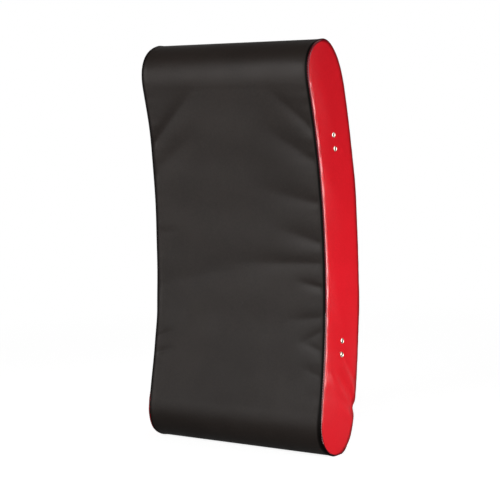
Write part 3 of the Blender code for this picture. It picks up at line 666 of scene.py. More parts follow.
def coated_fabric(name, dark, light, scuff, rough, gloss, weave_period, scuffs=0.35, shade=None):
    """PVC coated fabric: fine grain over a faint weave, with handling marks, and painted shade at its seams.
    """
    finish = Finish(name)
    cloudy = finish.ramp(finish.noise(7, 4, 0.55), 0.35, 0.68)
    grain = finish.ramp(finish.noise(240, 3, 0.6), 0.30, 0.70, -0.5, 0.5)
    base = finish.mix(finish.math("ADD", cloudy, grain), dark, light)
    streaks = finish.ramp(finish.noise(160, 5, 0.7, stretch=(0.25, 1, 0.18), distortion=0.6), 0.63, 0.74)
    marks = finish.math("MULTIPLY", streaks, finish.ramp(finish.noise(11, 3), 0.5, 0.72, 0, scuffs))
    # The kept seam number is painted shade: it darkens the colour towards the shade colour and dulls the
    # gloss.
    seam = finish.kept("seam")
    shade = shade or tuple(SEAM_SHADE_COLOUR_SHARE * part for part in dark)
    finish.feed("Base Color", finish.mix(seam, finish.mix(marks, base, scuff), shade))
    shine = finish.math("MULTIPLY", finish.kept("gleam"), GLEAM_GLOSS)
    plain = finish.ramp(seam, 0, 1, gloss, SEAM_GLOSS_SHARE * gloss)
    finish.feed("Specular IOR Level", finish.math("ADD", shine, plain))
    patches = finish.ramp(finish.noise(19, 4, 0.6), 0.3, 0.75, rough - 0.02, rough + 0.04)
    finish.feed("Roughness", finish.math("ADD", patches, finish.math("MULTIPLY", marks, 0.25)))
    weave = finish.math("ADD", finish.bands(weave_period, "X"), finish.bands(weave_period, "Z"))
    finish.bump(weave, WEAVE_DEPTH, 0.5)
    finish.bump(finish.cells(1150), GRAIN_DEPTH, 0.6)
    finish.bump(finish.noise(420, 4, 0.6), ROUGHNESS_DEPTH, 0.5)
    finish.bump(finish.noise(34, 3, 0.5, distortion=0.4), HANDLED_DEPTH, 0.10)
    return finish.material


def webbing_finish():
    """Woven polypropylene webbing, with its pattern on the strap's own across and along."""
    finish = Finish("webbing_weave")
    strap = finish.nodes.new("ShaderNodeUVMap")
    strap.uv_map = "strap"
    place = strap.outputs["UV"]
    ribs = finish.bands(RIB_PERIOD, "X", place)
    picks = finish.bands(PICK_PERIOD, "Y", place, 0.4)
    thread = finish.math("MULTIPLY", ribs, picks)
    raised = finish.ramp(thread, 0.0, 0.8)
    finish.feed("Base Color", finish.mix(raised, (0.006, 0.006, 0.007), (0.035, 0.035, 0.038)))
    finish.feed("Roughness", finish.ramp(finish.noise(60, 4), 0.3, 0.7, 0.62, 0.8))
    finish.bump(thread, RIB_DEPTH, 0.8)
    finish.bump(finish.noise(1800, 3, place=place), FIBRE_DEPTH, 0.5)
    finish.shader.inputs["Sheen Weight"].default_value = 0.25
    finish.shader.inputs["Sheen Roughness"].default_value = 0.5
    return finish.material


def foam_finish(name, dark, light):
    """Cut polyethylene foam: small closed cells."""
    finish = Finish(name)
    cell = finish.cells(700)
    finish.feed("Base Color", finish.mix(finish.ramp(cell, 0.1, 0.75), light, dark))
    finish.feed("Roughness", finish.ramp(finish.noise(90, 3), 0.3, 0.7, 0.88, 0.97))
    finish.bump(cell, CELL_DEPTH, 0.7)
    finish.bump(finish.noise(55, 3), CUT_DEPTH, 0.3)
    return finish.material


def thread_finish(name, dark, light):
    """Twisted sewing thread."""
    finish = Finish(name)
    twist = finish.noise(2600, 2, stretch=(1, 1, 0.5))
    finish.feed("Base Color", finish.mix(finish.ramp(twist, 0.35, 0.65), dark, light))
    finish.feed("Roughness", finish.ramp(finish.noise(300, 2), 0.3, 0.7, 0.5, 0.68))
    finish.bump(twist, FIBRE_DEPTH, 0.6)
    return finish.material


def metal_finish(name, dark, light, rough):
    """Nickel plated steel with fine scratches and a little tarnish."""
    finish = Finish(name)
    tarnish = finish.ramp(finish.noise(140, 4, 0.6), 0.42, 0.75)
    finish.feed("Base Color", finish.mix(tarnish, light, dark))
    scratch = finish.noise(1500, 3, 0.6, stretch=(1, 0.12, 1))
    finish.feed("Roughness", finish.ramp(scratch, 0.3, 0.75, rough - 0.06, rough + 0.14))
    finish.shader.inputs["Metallic"].default_value = 1.0
    finish.bump(scratch, SCRATCH_DEPTH, 0.4)
    return finish.material


def moulded_finish(name, dark, light, rough):
    """Moulded plastic with a fine texture."""
    finish = Finish(name)
    finish.feed("Base Color", finish.mix(finish.ramp(finish.noise(120, 4), 0.35, 0.7), dark, light))
    finish.feed("Roughness", finish.ramp(finish.noise(420, 3), 0.3, 0.7, rough - 0.06, rough + 0.08))
    finish.bump(finish.noise(1400, 3), MOULD_DEPTH, 0.5)
    return finish.material


def tape_finish():
    """Knitted zip tape."""
    finish = Finish("zip_tape_knit")
    knit = finish.math("MULTIPLY", finish.bands(KNIT_ACROSS, "X"), finish.bands(KNIT_ALONG, "Z"))
    raised = finish.ramp(knit, 0.0, 0.7)
    finish.feed("Base Color", finish.mix(raised, (0.005, 0.005, 0.005), (0.022, 0.022, 0.023)))
    finish.feed("Roughness", finish.ramp(finish.noise(200, 3), 0.3, 0.7, 0.78, 0.9))
    finish.bump(knit, KNIT_DEPTH, 0.8)
    return finish.material


BLACK_WEAVE, RED_WEAVE, PAD_WEAVE = 0.0011, 0.0012, 0.0014
BLACK = coated_fabric("black_pvc", (0.0183, 0.0138, 0.0119), (0.0230, 0.0175, 0.0150),
                      (0.05, 0.048, 0.045), 0.42, 0.17, BLACK_WEAVE)
RED = coated_fabric("red_pvc", (0.732, 0.0110, 0.0195), (0.780, 0.0127, 0.0230),
                    (0.80, 0.06, 0.07), 0.22, 0.03, RED_WEAVE, 0.12)
# The piping's last colour is its painted shade, for its flank beside the black sheet.
BEAD = coated_fabric("red_piping", (0.680, 0.0060, 0.0100), (0.740, 0.0080, 0.0130),
                     (0.78, 0.12, 0.13), 0.17, 0.50, RED_WEAVE, 0.12, (0.17, 0.0030, 0.0120))
WEBBING = webbing_finish()
PADDING = coated_fabric("pad_pvc", (0.010, 0.010, 0.010), (0.017, 0.016, 0.015),
                        (0.05, 0.05, 0.05), 0.56, 0.14, PAD_WEAVE)
RUBBER = moulded_finish("grip_rubber_moulded", (0.010, 0.010, 0.010), (0.020, 0.020, 0.021), 0.62)
FACE_FOAM = foam_finish("face_foam_cells", (0.50, 0.47, 0.38), (0.78, 0.75, 0.66))
CORE_FOAM = foam_finish("core_foam_cells", (0.16, 0.17, 0.19), (0.34, 0.36, 0.40))
NICKEL = metal_finish("nickel_plate", (0.60, 0.54, 0.45), (0.84, 0.77, 0.67), 0.24)
# A darker copy of the nickel plate: painted shade, for the darker surroundings that the eyelets' flanges
# mirror.
EYELET_METAL_SHADED = metal_finish("eyelet_plate_shaded", (0.30, 0.24, 0.20), (0.48, 0.41, 0.35), 0.24)
DARK_THREAD = thread_finish("dark_thread", (0.02, 0.02, 0.02), (0.07, 0.068, 0.066))
# Pale thread for the stitches that paint the highlight line along the lower right front seam.
SEAM_THREAD = thread_finish("seam_thread", (0.62, 0.34, 0.34), (0.86, 0.60, 0.59))
RED_THREAD = thread_finish("red_thread", (0.10, 0.004, 0.008), (0.20, 0.008, 0.014))
BOX_THREAD = thread_finish("box_thread", (0.10, 0.10, 0.10), (0.22, 0.22, 0.22))
TAPE = tape_finish()
TEETH = moulded_finish("zip_teeth_moulded", (0.012, 0.012, 0.012), (0.022, 0.022, 0.023), 0.36)


def make_covers():
    """The black sheets of the cover."""
    make_sheet("front_cover_sheet", SideLine(*wrap_places()), face_lift, "front_cover")
    for level, ends, seed in (("upper", (STRAIGHT_BACK, ZIP_TOP), UPPER_BACK_SEED),
                              ("lower", (ZIP_FOOT, -STRAIGHT_BACK), LOWER_BACK_SEED)):
        line = SideLine(np.array(ends), np.full(2, THICKNESS / 2))
        make_sheet(f"back_cover_{level}_sheet", line, back_lift(seed), f"back_cover_{level}")


# Folds of the right side panel's lower end: ends as (out, run), width at each, and depth.
PANEL_FOLDS = (
    ((-0.040, -0.190), (0.036, -0.262), 0.0170, 0.0110, 0.0026),
    ((-0.052, -0.236), (0.030, -0.306), 0.0190, 0.0125, 0.0034),
    ((-0.030, -0.296), (0.060, -0.345), 0.0170, 0.0105, 0.0029),
    ((0.015, -0.268), (0.052, -0.318), 0.0060, 0.0036, 0.0013),
    ((0.022, -0.282), (0.056, -0.322), 0.0050, 0.0032, 0.0011),
    ((0.010, 0.215), (0.050, 0.190), 0.0090, 0.0060, 0.0009),
)


BORE_SIDES = 40
BORE_ABOVE, BORE_BELOW = 0.004, -0.006


def tube_points(place, profile, sides):
    """Rings of points round an axis, from a profile of (radius, height)."""
    return [place @ Vector((radius * math.cos(turn), radius * math.sin(turn), height))
            for radius, height in profile for turn in full_turn(sides)]


def bore_cutter(name, frames):
    """Round cutters for the eyelets of one panel, as one object."""
    profile = ((VENT_BARREL, BORE_BELOW), (VENT_BARREL, BORE_ABOVE))
    points = [corner for vent in frames for corner in tube_points(vent, profile, BORE_SIDES)]
    return new_piece(name, points, repeated(tube_faces(2, BORE_SIDES), len(frames), 2 * BORE_SIDES), NICKEL)


def vent_frames(side):
    """The frames of one panel's eyelets, as in the CAD part."""
    half = VENT_PITCH / 2
    upper = HALF_RUN - VENTS_FROM_TOP
    lower = VENTS_FROM_BOTTOM - HALF_RUN
    frames = []
    for run in (upper + half, upper - half, lower + half, lower - half):
        y, z = (float(value) for value in placed(run, VENT_OUT))
        normal = Vector((side, 0, (BOTTOM_WIDTH - TOP_WIDTH) / 2 / SHIELD_HEIGHT)).normalized()
        place = Vector((side * (half_width(z) + SIDE_CROWN * (1 - VENT_RING_SHARE ** 2)), y, z))
        frames.append(Matrix.Translation(place) @ normal.to_track_quat("Z", "Y").to_matrix().to_4x4())
    return frames


# A side panel's grid, its run-out at the ends, its fold and gather edges, and its two slow waves.
PANEL_ROWS, PANEL_COLUMNS = 301, 37
PANEL_END = 0.065
PANEL_FOLD_EDGE_SHARE, PANEL_RIPPLE_EDGE_SHARE = 0.25, 0.1
PANEL_SEED = 41
PANEL_RIPPLE, PANEL_RIPPLE_LONGEST, PANEL_RIPPLE_SHORTEST = 0.0004, 0.075, 0.022
PANEL_RIPPLE_REACH_SHARE = 0.25
PANEL_WAVE, PANEL_WAVE_RUN, PANEL_WAVE_ACROSS = 0.0006, 0.21, 0.11
SAME_PLACE = 1e-6


def panel_lift(side, across, out, runs, near_edge):
    """How far a side panel stands out: its crown, folds, gathers and slow wave."""
    lift = SIDE_CROWN * near_edge
    if side > 0:
        creased = folds(out, runs, PANEL_FOLDS, ridge_and_valley)
        lift = lift + creased * smooth(near_edge / PANEL_FOLD_EDGE_SHARE)
    ripple = waves(runs, PANEL_SEED + side, PANEL_RIPPLE_LONGEST, PANEL_RIPPLE_SHORTEST)
    fade = np.exp(-(1 - across ** 2) / PANEL_RIPPLE_REACH_SHARE) * smooth(near_edge / PANEL_RIPPLE_EDGE_SHARE)
    lift = lift + PANEL_RIPPLE * ripple * fade
    phase = runs / PANEL_WAVE_RUN + out / PANEL_WAVE_ACROSS
    return lift + PANEL_WAVE * np.sin(2 * math.pi * phase) * near_edge


def make_side_panel(word, side):
    """The glossy red sheet of one side, with its eyelet holes."""
    length = HALF_RUN - BEAD_INSET
    run = length * span(PANEL_ROWS)
    share = span(PANEL_COLUMNS) * 0.5 + 0.5
    front = -half_depth(run, FRONT, BEAD_INSET)[:, None]
    back = half_depth(run, BACK, BEAD_INSET)[:, None]
    out = front + (back - front) * share
    runs = run[:, None] + 0 * out
    across = 2 * share - 1
    end = np.clip((np.abs(runs) - (length - PANEL_END)) / PANEL_END, 0, 1)
    near_edge = (1 - across ** 2) * (1 - end ** 2)
    y, z = placed(runs, out)
    x = side * (half_width(z) + panel_lift(side, across, out, runs, near_edge))
    points = shaped(np.stack([x, y, z], axis=2))
    faces = grid_faces(*points.shape[:2])
    if side < 0:
        faces = [face[::-1] for face in faces]
    piece = new_piece(f"side_panel_{word}_sheet", points, faces, RED)
    build = bmesh.new()
    build.from_mesh(piece.data)
    bmesh.ops.remove_doubles(build, verts=build.verts, dist=SAME_PLACE)
    build.to_mesh(piece.data)
    build.free()
    thicken(piece)
    cutter = bore_cutter(f"bores_{word}", vent_frames(side))
    cut = piece.modifiers.new("bores", "BOOLEAN")
    cut.operation = "DIFFERENCE"
    cut.solver = "EXACT"
    cut.object = cutter
    bake_modifiers(piece)
    bpy.data.objects.remove(cutter)
    mark_panel_edges(piece)
    dress(piece, "red_cover", f"side_panel_{word}")


# How far in from the seams a side panel is polished in front, and painted with shade behind.
GLEAM_REACH = 0.0060
LOW_GLEAM = 0.20
PANEL_SHADE = 0.80
PANEL_SHADE_REACH = 0.013
GLEAM_TOP_PAST, GLEAM_TOP_EASE = 0.012, 0.008
GLEAM_FOOT, GLEAM_FOOT_EASE = 0.40, 0.05
LOW_GLEAM_RUN, LOW_GLEAM_EASE = -0.16, 0.14


def mark_panel_edges(piece):
    """Keep how near each point of a side panel is to the front seam, which shines, and to the back one, which
    is painted with shade.
    """
    places = np.array([vertex.co[:] for vertex in piece.data.vertices])
    run, out = bow_place(places[:, 1], places[:, 2])
    run = np.clip(run, -HALF_RUN, HALF_RUN)
    from_front = out + half_depth(run, FRONT, BEAD_INSET)
    from_back = half_depth(run, BACK, BEAD_INSET) - out
    straight = below(STRAIGHT_FRONT + GLEAM_TOP_PAST, run, GLEAM_TOP_EASE)
    straight = straight * smooth((run + GLEAM_FOOT) / GLEAM_FOOT_EASE)
    gleam = (1 - smooth(from_front / GLEAM_REACH)) * straight
    gleam = np.maximum(gleam, LOW_GLEAM * below(LOW_GLEAM_RUN, run, LOW_GLEAM_EASE))
    mark(piece, "gleam", gleam)
    # Painted shade along the back seam, where the panel turns away towards its silhouette.
    mark(piece, "seam", PANEL_SHADE * (1 - smooth(from_back / PANEL_SHADE_REACH)))


def bake_modifiers(piece):
    """Apply a piece's modifiers to its mesh."""
    bpy.context.view_layer.update()
    evaluated = piece.evaluated_get(bpy.context.evaluated_depsgraph_get())
    mesh = bpy.data.meshes.new_from_object(evaluated)
    piece.modifiers.clear()
    piece.data = mesh


def ring_points(centres, first, second, radii, sides):
    """Rings of points round centres, in the plane of two directions."""
    turn = full_turn(sides)[None, :, None]
    radii = np.broadcast_to(radii, (len(centres),))[:, None, None]
    circle = np.cos(turn) * first[:, None, :] + np.sin(turn) * second[:, None, :]
    return centres[:, None, :] + radii * circle


# The piping's mesh and waviness, its foot on the left, where its painted shade is a little lighter, and how
# far round it, in degrees, it is painted with shade.
BEAD_SIDES, BEAD_STEP = 28, 0.003
BEAD_SEED = 57
BEAD_WOBBLE, BEAD_LONGEST, BEAD_SHORTEST, BEAD_SIDEWAYS_SHARE = 0.00018, 0.05, 0.012, 0.4
FOOT_BEAD_OUT = 0.0026
FOOT_BEAD_SHADE_CUT, FOOT_SHADE_CUT_FROM, FOOT_SHADE_CUT_EASE = 0.12, 8, 12
PAINTED_SHADE_FROM, PAINTED_SHADE_MORE, PAINTED_SHADE_EASE = 59, 31, 14
TOP_BEAD_EASE, UNDER_BEAD_RUN, UNDER_BEAD_EASE = 0.03, -0.385, 0.02
# The stitches beside it, and the runs between which they are pale, a painted highlight along the lower right
# front seam.
SEAM_STITCH_TURN, SEAM_STITCH_LIFT = math.radians(8), 0.0001
HIGHLIGHT_STITCH_LOW, HIGHLIGHT_STITCH_HIGH = -0.41, -0.13


def make_bead(word, side):
    """The red piping round one side, a little uneven where it is sewn."""
    line = SideLine(*loop_places(), closed=True, step=BEAD_STEP)
    wobble = BEAD_WOBBLE * waves(line.along, BEAD_SEED + side, BEAD_LONGEST, BEAD_SHORTEST)
    y = line.y - line.normal_y * (BEAD_INSET - wobble)
    z = line.z - line.normal_z * (BEAD_INSET - wobble)
    foot = below(FOOT_RUN, line.run, FOOT_EASE) * (side < 0)
    x = side * (half_width(z) - BEAD_RADIUS + BEAD_SIDEWAYS_SHARE * wobble + FOOT_BEAD_OUT * foot)
    centres = shaped(np.stack([x, y, z], axis=1))
    outward = np.stack([np.zeros_like(x), line.normal_y, line.normal_z], axis=1)
    sideways = np.zeros_like(outward)
    sideways[:, 0] = side
    points = ring_points(centres, outward, sideways, BEAD_RADIUS, BEAD_SIDES)
    faces = grid_faces(*points.shape[:2], True, True)
    if side > 0:
        faces = [face[::-1] for face in faces]
    piece = new_piece(f"piping_{word}_bead", points, faces, BEAD)
    # Painted shade on the bead: its flank beside the black sheet is darkened, further round over the ends and
    # on the back, and a little less at the foot on the left.
    around = np.degrees(full_turn(BEAD_SIDES))[None, :]
    over_top = smooth((line.run - STRAIGHT_FRONT) / TOP_BEAD_EASE)
    rolled = np.maximum(over_top, below(UNDER_BEAD_RUN, line.run, UNDER_BEAD_EASE))
    rolled = np.maximum(rolled, line.out > 0)[:, None]
    dark = 1 - smooth((around - PAINTED_SHADE_FROM - PAINTED_SHADE_MORE * rolled) / PAINTED_SHADE_EASE)
    shade_cut = FOOT_BEAD_SHADE_CUT * foot[:, None] * smooth((around - FOOT_SHADE_CUT_FROM) / FOOT_SHADE_CUT_EASE)
    mark(piece, "seam", np.minimum(dark, 1 - shade_cut))
    dress(piece, "red_cover", f"piping_{word}")
    bead_stitches(word, side, line, centres, outward, sideways)


def bead_stitches(word, side, line, centres, outward, sideways):
    """Stitches along the bead, beside the black sheet."""
    spots = np.linspace(0, line.length, int(line.length / STITCH_PITCH), endpoint=False)
    flank = (wrap_angle(side, line) + SEAM_STITCH_TURN)[:, None]
    away = np.cos(flank) * outward + np.sin(flank) * sideways
    tangent = np.stack([0 * line.y, -line.normal_z, line.normal_y], axis=1)
    closed = np.append(line.along, line.length)

    def at_spots(values):
        return np.interp(spots, closed, np.append(values, values[0]))

    seats, ways, ups = (np.stack([at_spots(column) for column in values.T], axis=1)
                        for values in (centres + (BEAD_RADIUS + SEAM_STITCH_LIFT) * away, tangent, away))
    run = at_spots(line.run)
    # Between these runs on the right front the stitches are pale: a painted highlight line along the seam.
    painted_highlight = (run > HIGHLIGHT_STITCH_LOW) & (run < HIGHLIGHT_STITCH_HIGH) & (at_spots(line.out) < 0) & (side > 0)
    stitches(f"seam_stitches_{word}", seats[~painted_highlight], -ways[~painted_highlight], ups[~painted_highlight], RED_THREAD)
    if painted_highlight.any():
        stitches(f"seam_stitches_{word}_worn", seats[painted_highlight], -ways[painted_highlight], ups[painted_highlight], SEAM_THREAD)


# A stitch's rings as (place along it, size, height), in shares of its length and its radius.
STITCH_SIDES = 6
STITCH_RINGS = ((-0.5, 0.4, -1.1), (-0.40, 0.85, -0.4), (-0.2, 1.0, 0.0),
                (0.2, 1.0, 0.0), (0.40, 0.85, -0.4), (0.5, 0.4, -1.1))


def stitches(name, seats, along, up, material, radius=THREAD_RADIUS, length=STITCH_LENGTH, body="shield"):
    """A row of separate stitches, each a short arched thread whose ends dip into the sheet."""
    up = up / np.linalg.norm(up, axis=1)[:, None]
    along = along / np.linalg.norm(along, axis=1)[:, None]
    across = np.cross(along, up)
    rings = []
    for place, size, height in STITCH_RINGS:
        centre = seats + along * place * length + up * height * radius
        rings.append(ring_points(centre, across, up, radius * size, STITCH_SIDES))
    one = tube_faces(len(STITCH_RINGS), STITCH_SIDES)
    faces = repeated(one, len(seats), len(STITCH_RINGS) * STITCH_SIDES)
    piece = new_piece(name, np.stack(rings, axis=1), faces, material)
    fix_normals(piece)
    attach(piece, body)


def fix_normals(piece):
    """Point all faces outwards."""
    build = bmesh.new()
    build.from_mesh(piece.data)
    bmesh.ops.recalc_face_normals(build, faces=build.faces)
    build.to_mesh(piece.data)
    build.free()


# The eyelets' mesh, and the rounding and clearance of their section.
EYELET_SIDES, EYELET_SHARP = 56, math.radians(70)
FLANGE_STEPS, FLANGE_POWER = 13, 0.8
EYELET_GAP = 0.0001


def make_eyelets(word, side):
    """Rolled metal eyelets. The washers behind the sheet are the CAD part's own."""
    middle = (VENT_BORE + VENT_FLANGE) / 2
    reach = (VENT_FLANGE - VENT_BORE) / 2
    profile = [(middle + reach * math.cos(turn), EYELET_GAP + VENT_CREST * math.sin(turn) ** FLANGE_POWER)
               for turn in np.linspace(0, math.pi, FLANGE_STEPS)]
    barrel = VENT_BARREL - EYELET_GAP
    profile += [(VENT_BORE, -VENT_DEPTH), (barrel, -VENT_DEPTH), (barrel, 0)]
    faces = grid_faces(len(profile), EYELET_SIDES, True, True)
    for number, place in enumerate(vent_frames(side), 1):
        points = tube_points(place, profile, EYELET_SIDES)
        piece = new_piece(f"eyelet_{word}_{number}", points, faces, EYELET_METAL_SHADED, EYELET_SHARP)
        fix_normals(piece)
        dress(piece, "nickel", f"vent_eyelet_{word}_{number}")


# The foam layers: how far in from the cover, their grid, and the face layer's depth and clearance.
FOAM_INSET, FOAM_SIDE_INSET = 0.0062, 0.009
FOAM_ROWS, FOAM_COLUMNS, FOAM_LEAST = 121, 25, 0.0005
FACE_FOAM_DEPTH, FOAM_GAP = 0.045, 0.0002


def foam_block(name, low_out, high_out, material, node):
    """One foam layer inside the cover."""
    run = (HALF_RUN - FOAM_INSET) * span(FOAM_ROWS)
    front = np.maximum(-half_depth(run, FRONT, FOAM_INSET), low_out)
    back = np.minimum(half_depth(run, BACK, FOAM_INSET), high_out)
    keep = back - front > FOAM_LEAST
    run, front, back = run[keep], front[keep], back[keep]
    y, z = placed(np.concatenate([run, run[::-1]]), np.concatenate([front, back[::-1]]))
    z = np.maximum(z, FOAM_INSET)
    points = np.stack([np.stack([share * (half_width(z) - FOAM_SIDE_INSET), y, z], axis=1)
                       for share in np.linspace(-1, 1, FOAM_COLUMNS)])
    piece = new_piece(name, points, tube_faces(*points.shape[:2]), material)
    fix_normals(piece)
    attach(piece, "shield")
    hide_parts(node)


def make_foam():
    """The soft face layer and the dense core."""
    split = FACE_FOAM_DEPTH - THICKNESS / 2
    foam_block("face_foam_layer", -THICKNESS, split - FOAM_GAP, FACE_FOAM, "foam_face_soft")
    foam_block("core_foam_layer", split + FOAM_GAP, THICKNESS, CORE_FOAM, "foam_core_dense")


# Where the back and its fittings stitch together, with pitch and length of the stitches.
HEM_STITCH, HEM_ROW_GAP, HEM_LIFT = 0.005, 0.0034, 0.00012
HEM_END, HEM_TAPER = 0.004, 0.0065
SEWN_LIFT = 2 * SEAT_GAP + PATCH_SHEET + WEBBING_SHEET / 2
BACK_THREAD_RADIUS = 0.00040
PLAIN_STITCH, CLOSE_STITCH, BOX_STITCH = (0.0042, 0.0031), (0.0036, 0.0027), (0.0034, 0.0026)
BOX_STITCH_INSET = 0.0045
ZIP_STITCH_LIFT = 0.0001
ZIP_END_TAB = 0.0245
TOOTH_NEAR = 0.00058
TOOTH_FAR = 0.0040
TOOTH_HALF = 0.00085
TOOTH_THICKNESS = 0.0026
TOOTH_PITCH = 0.0027
TAPE_NEAR = 0.0043
STOP_LENGTH = 0.004


def back_place(x, run, lift):
    """Points over the flat of the back, with their outward and upward directions."""
    x, run, lift = np.broadcast_arrays(np.asarray(x, float), run, lift)
    turn = run / BOW_RADIUS
    points = np.stack([x, *placed(run, THICKNESS / 2 + lift)], axis=-1)
    outward = np.stack([0 * x, np.cos(turn), np.sin(turn)], axis=-1)
    upward = np.stack([0 * x, -np.sin(turn), np.cos(turn)], axis=-1)
    return points, outward, upward


def back_sheet(name, x, run, lift, material, thickness, slot, node):
    """A sheet on the back, in place of its CAD solid."""
    points, _, _ = back_place(x, run, lift)
    piece = new_piece(name, points, grid_faces(*points.shape[:2]), material)
    if sum(face.normal.y * face.area for face in piece.data.polygons) < 0:
        piece.data.flip_normals()
    thicken(piece, thickness)
    dress(piece, slot, node)
    return piece


def path_steps(corners, pitch):
    """Even steps along straight lines between corners, as places and directions."""
    places, ways = [], []
    for (u0, v0), (u1, v1) in zip(corners[:-1], corners[1:]):
        size = math.hypot(u1 - u0, v1 - v0)
        count = max(2, round(size / pitch))
        share = (np.arange(count) + 0.5) / count
        places.append(np.stack([u0 + (u1 - u0) * share, v0 + (v1 - v0) * share], axis=1))
        ways.append(np.tile([(u1 - u0) / size, (v1 - v0) / size], (count, 1)))
    return np.concatenate(places), np.concatenate(ways)


def rounded_box(u_ends, v_ends, inset, radius, steps=6):
    """The closed corner list of a rounded rectangle, moved in from its ends by an inset."""
    low_u, high_u = min(u_ends) + inset + radius, max(u_ends) - inset - radius
    low_v, high_v = min(v_ends) + inset + radius, max(v_ends) - inset - radius
    corners = []
    for start, (u, v) in enumerate(((high_u, high_v), (low_u, high_v), (low_u, low_v), (high_u, low_v))):
        for step in range(steps + 1):
            turn = (start + step / steps) * math.pi / 2
            corners.append((u + radius * math.cos(turn), v + radius * math.sin(turn)))
    return corners + corners[:1]


def back_stitches(name, corners, lift, size=PLAIN_STITCH, material=DARK_THREAD):
    """Stitches over the back along corners given as (x, run)."""
    pitch, length = size
    places, ways = path_steps(corners, pitch)
    points, outward, upward = back_place(places[:, 0], places[:, 1], lift)
    along = ways[:, :1] * np.array([[1.0, 0, 0]]) + ways[:, 1:] * upward
    stitches(name, points, along, outward, material, BACK_THREAD_RADIUS, length)


def make_back_seams():
    """Two stitch rows on each hem of the back sheets."""
    edge = half_width(MID_HEIGHT) - SEAM_MARGIN - HEM_END
    hems = (("top_hem", STRAIGHT_BACK - HEM_STITCH, -1), ("zip_hem_upper", ZIP_TOP + HEM_STITCH, 1),
            ("zip_hem_lower", ZIP_FOOT - HEM_STITCH, -1), ("bottom_hem", HEM_STITCH - STRAIGHT_BACK, 1))
    for name, run, way in hems:
        half = edge + HEM_TAPER * (1 if run < 0 else -1)
        for row in range(2):
            level = run + way * row * HEM_ROW_GAP
            back_stitches(f"{name}_stitches_{row + 1}", [(-half, level), (half, level)], HEM_LIFT)


def sewn_run(sizes):
    """The run at which a loop's sewn ends begin."""
    return BOW_RADIUS * math.asin(sizes["half_span"] / (BOW_RADIUS + THICKNESS / 2 + SEWN_LIFT))


# The patches: corners and grid, the stitched groove, the puff inside it and the pressed rim.
PATCH_CORNER = 0.008
PATCH_ROWS, PATCH_COLUMNS = 61, 49
PATCH_GROOVE, PATCH_GROOVE_INSET, PATCH_GROOVE_REACH = 0.00035, 0.0032, 0.0011
PATCH_PUFF, PATCH_PUFF_INSET, PATCH_PUFF_EASE = 0.00025, 0.0045, 0.004
PATCH_RIM, PATCH_RIM_REACH = 0.0004, 0.0006


def make_patch(kind, word, level, x, sizes):
    """The sewn reinforcement under one end of a loop."""
    end = 1 if level == "upper" else -1
    low, high = sewn_run(sizes) - PATCH_MARGIN, sewn_run(sizes) + sizes["tab"] + PATCH_MARGIN
    half = sizes["width"] / 2 + PATCH_MARGIN
    run = (low + high) / 2 + (high - low) / 2 * span(PATCH_ROWS)
    depth = np.clip(np.minimum(run - low, high - run), 0, PATCH_CORNER)
    half_at = half - PATCH_CORNER + np.sqrt(PATCH_CORNER ** 2 - (PATCH_CORNER - depth) ** 2)
    across = half_at[:, None] * span(PATCH_COLUMNS)
    runs = run[:, None] + 0 * across
    rim = np.minimum(half_at[:, None] - np.abs(across), np.minimum(runs - low, high - runs))
    groove = PATCH_GROOVE * np.exp(-(((rim - PATCH_GROOVE_INSET) / PATCH_GROOVE_REACH) ** 2))
    puffed = PATCH_PUFF * smooth((rim - PATCH_PUFF_INSET) / PATCH_PUFF_EASE)
    lift = SEAT_GAP + PATCH_SHEET - groove + puffed - PATCH_RIM * np.exp(-rim / PATCH_RIM_REACH)
    node = f"{kind}_patch_{word}_{level}"
    piece = back_sheet(f"{node}_sheet", x + across, end * runs, lift, BLACK, PATCH_SHEET, "black_cover", node)
    border = rounded_box((x - half, x + half), (end * low, end * high), PATCH_GROOVE_INSET,
                         PATCH_CORNER - PATCH_GROOVE_INSET)
    back_stitches(f"{kind}_patch_stitches_{word}_{level}", border, SEAT_GAP + PATCH_SHEET, CLOSE_STITCH)


def loop_height(sizes, up):
    """Height of a sewn loop over the line through its sewn ends."""
    share = np.minimum(1, np.abs(up) / sizes["half_span"])
    return sizes["height"] * (1 - share ** LOOP_POWER) ** 2


def hinge_y(sizes):
    """How far back the line through a loop's sewn ends lies."""
    return float(placed(sewn_run(sizes), THICKNESS / 2 + SEWN_LIFT)[0])


LOOP_PLACES, TAB_PLACES, LOOP_STEP = 400, 100, 0.002


def loop_line(sizes, low, high, tab_end=0, step=LOOP_STEP):
    """An even side view line along a loop: y, z, normal y, normal z and the distance along it."""
    up = np.linspace(low, high, LOOP_PLACES)
    y, z = hinge_y(sizes) + loop_height(sizes, up), MID_HEIGHT + up
    if tab_end:
        run = np.linspace(sewn_run(sizes), sewn_run(sizes) + sizes["tab"], TAB_PLACES)[1:] * tab_end
        tab_y, tab_z = placed(run, THICKNESS / 2 + SEWN_LIFT)
        y, z = np.concatenate([y, tab_y]), np.concatenate([z, tab_z])
    along = distances(y, z)
    even = np.linspace(0, along[-1], round(along[-1] / step) + 1)
    y, z = np.interp(even, along, y), np.interp(even, along, z)
    way_y, way_z = np.gradient(y), np.gradient(z)
    size = np.hypot(way_y, way_z) * np.sign(high - low)
    return y, z, way_z / size, -way_y / size, even


def middle_line(sizes, step):
    """The line of the pad or sleeve on a loop's free middle."""
    reach = sizes["half_span"] * sizes["moving_share"] - sizes["pad_end"]
    return loop_line(sizes, -reach, reach, step=step)


BAND_STEPS, SELVEDGE_STEPS = 25, 9


def band_section(width, thickness):
    """The cross-section of webbing: flat faces and round selvedges, as (across, height)."""
    edge = thickness / 2
    flat = np.linspace(edge - width / 2, width / 2 - edge, BAND_STEPS)
    turn = np.linspace(0, math.pi, SELVEDGE_STEPS)[1:-1]
    low = np.stack([flat, np.full(BAND_STEPS, -edge)], axis=1)
    selvedge = np.stack([flat[-1] + edge * np.sin(turn), -edge * np.cos(turn)], axis=1)
    return np.concatenate([low, selvedge, -low, -selvedge])


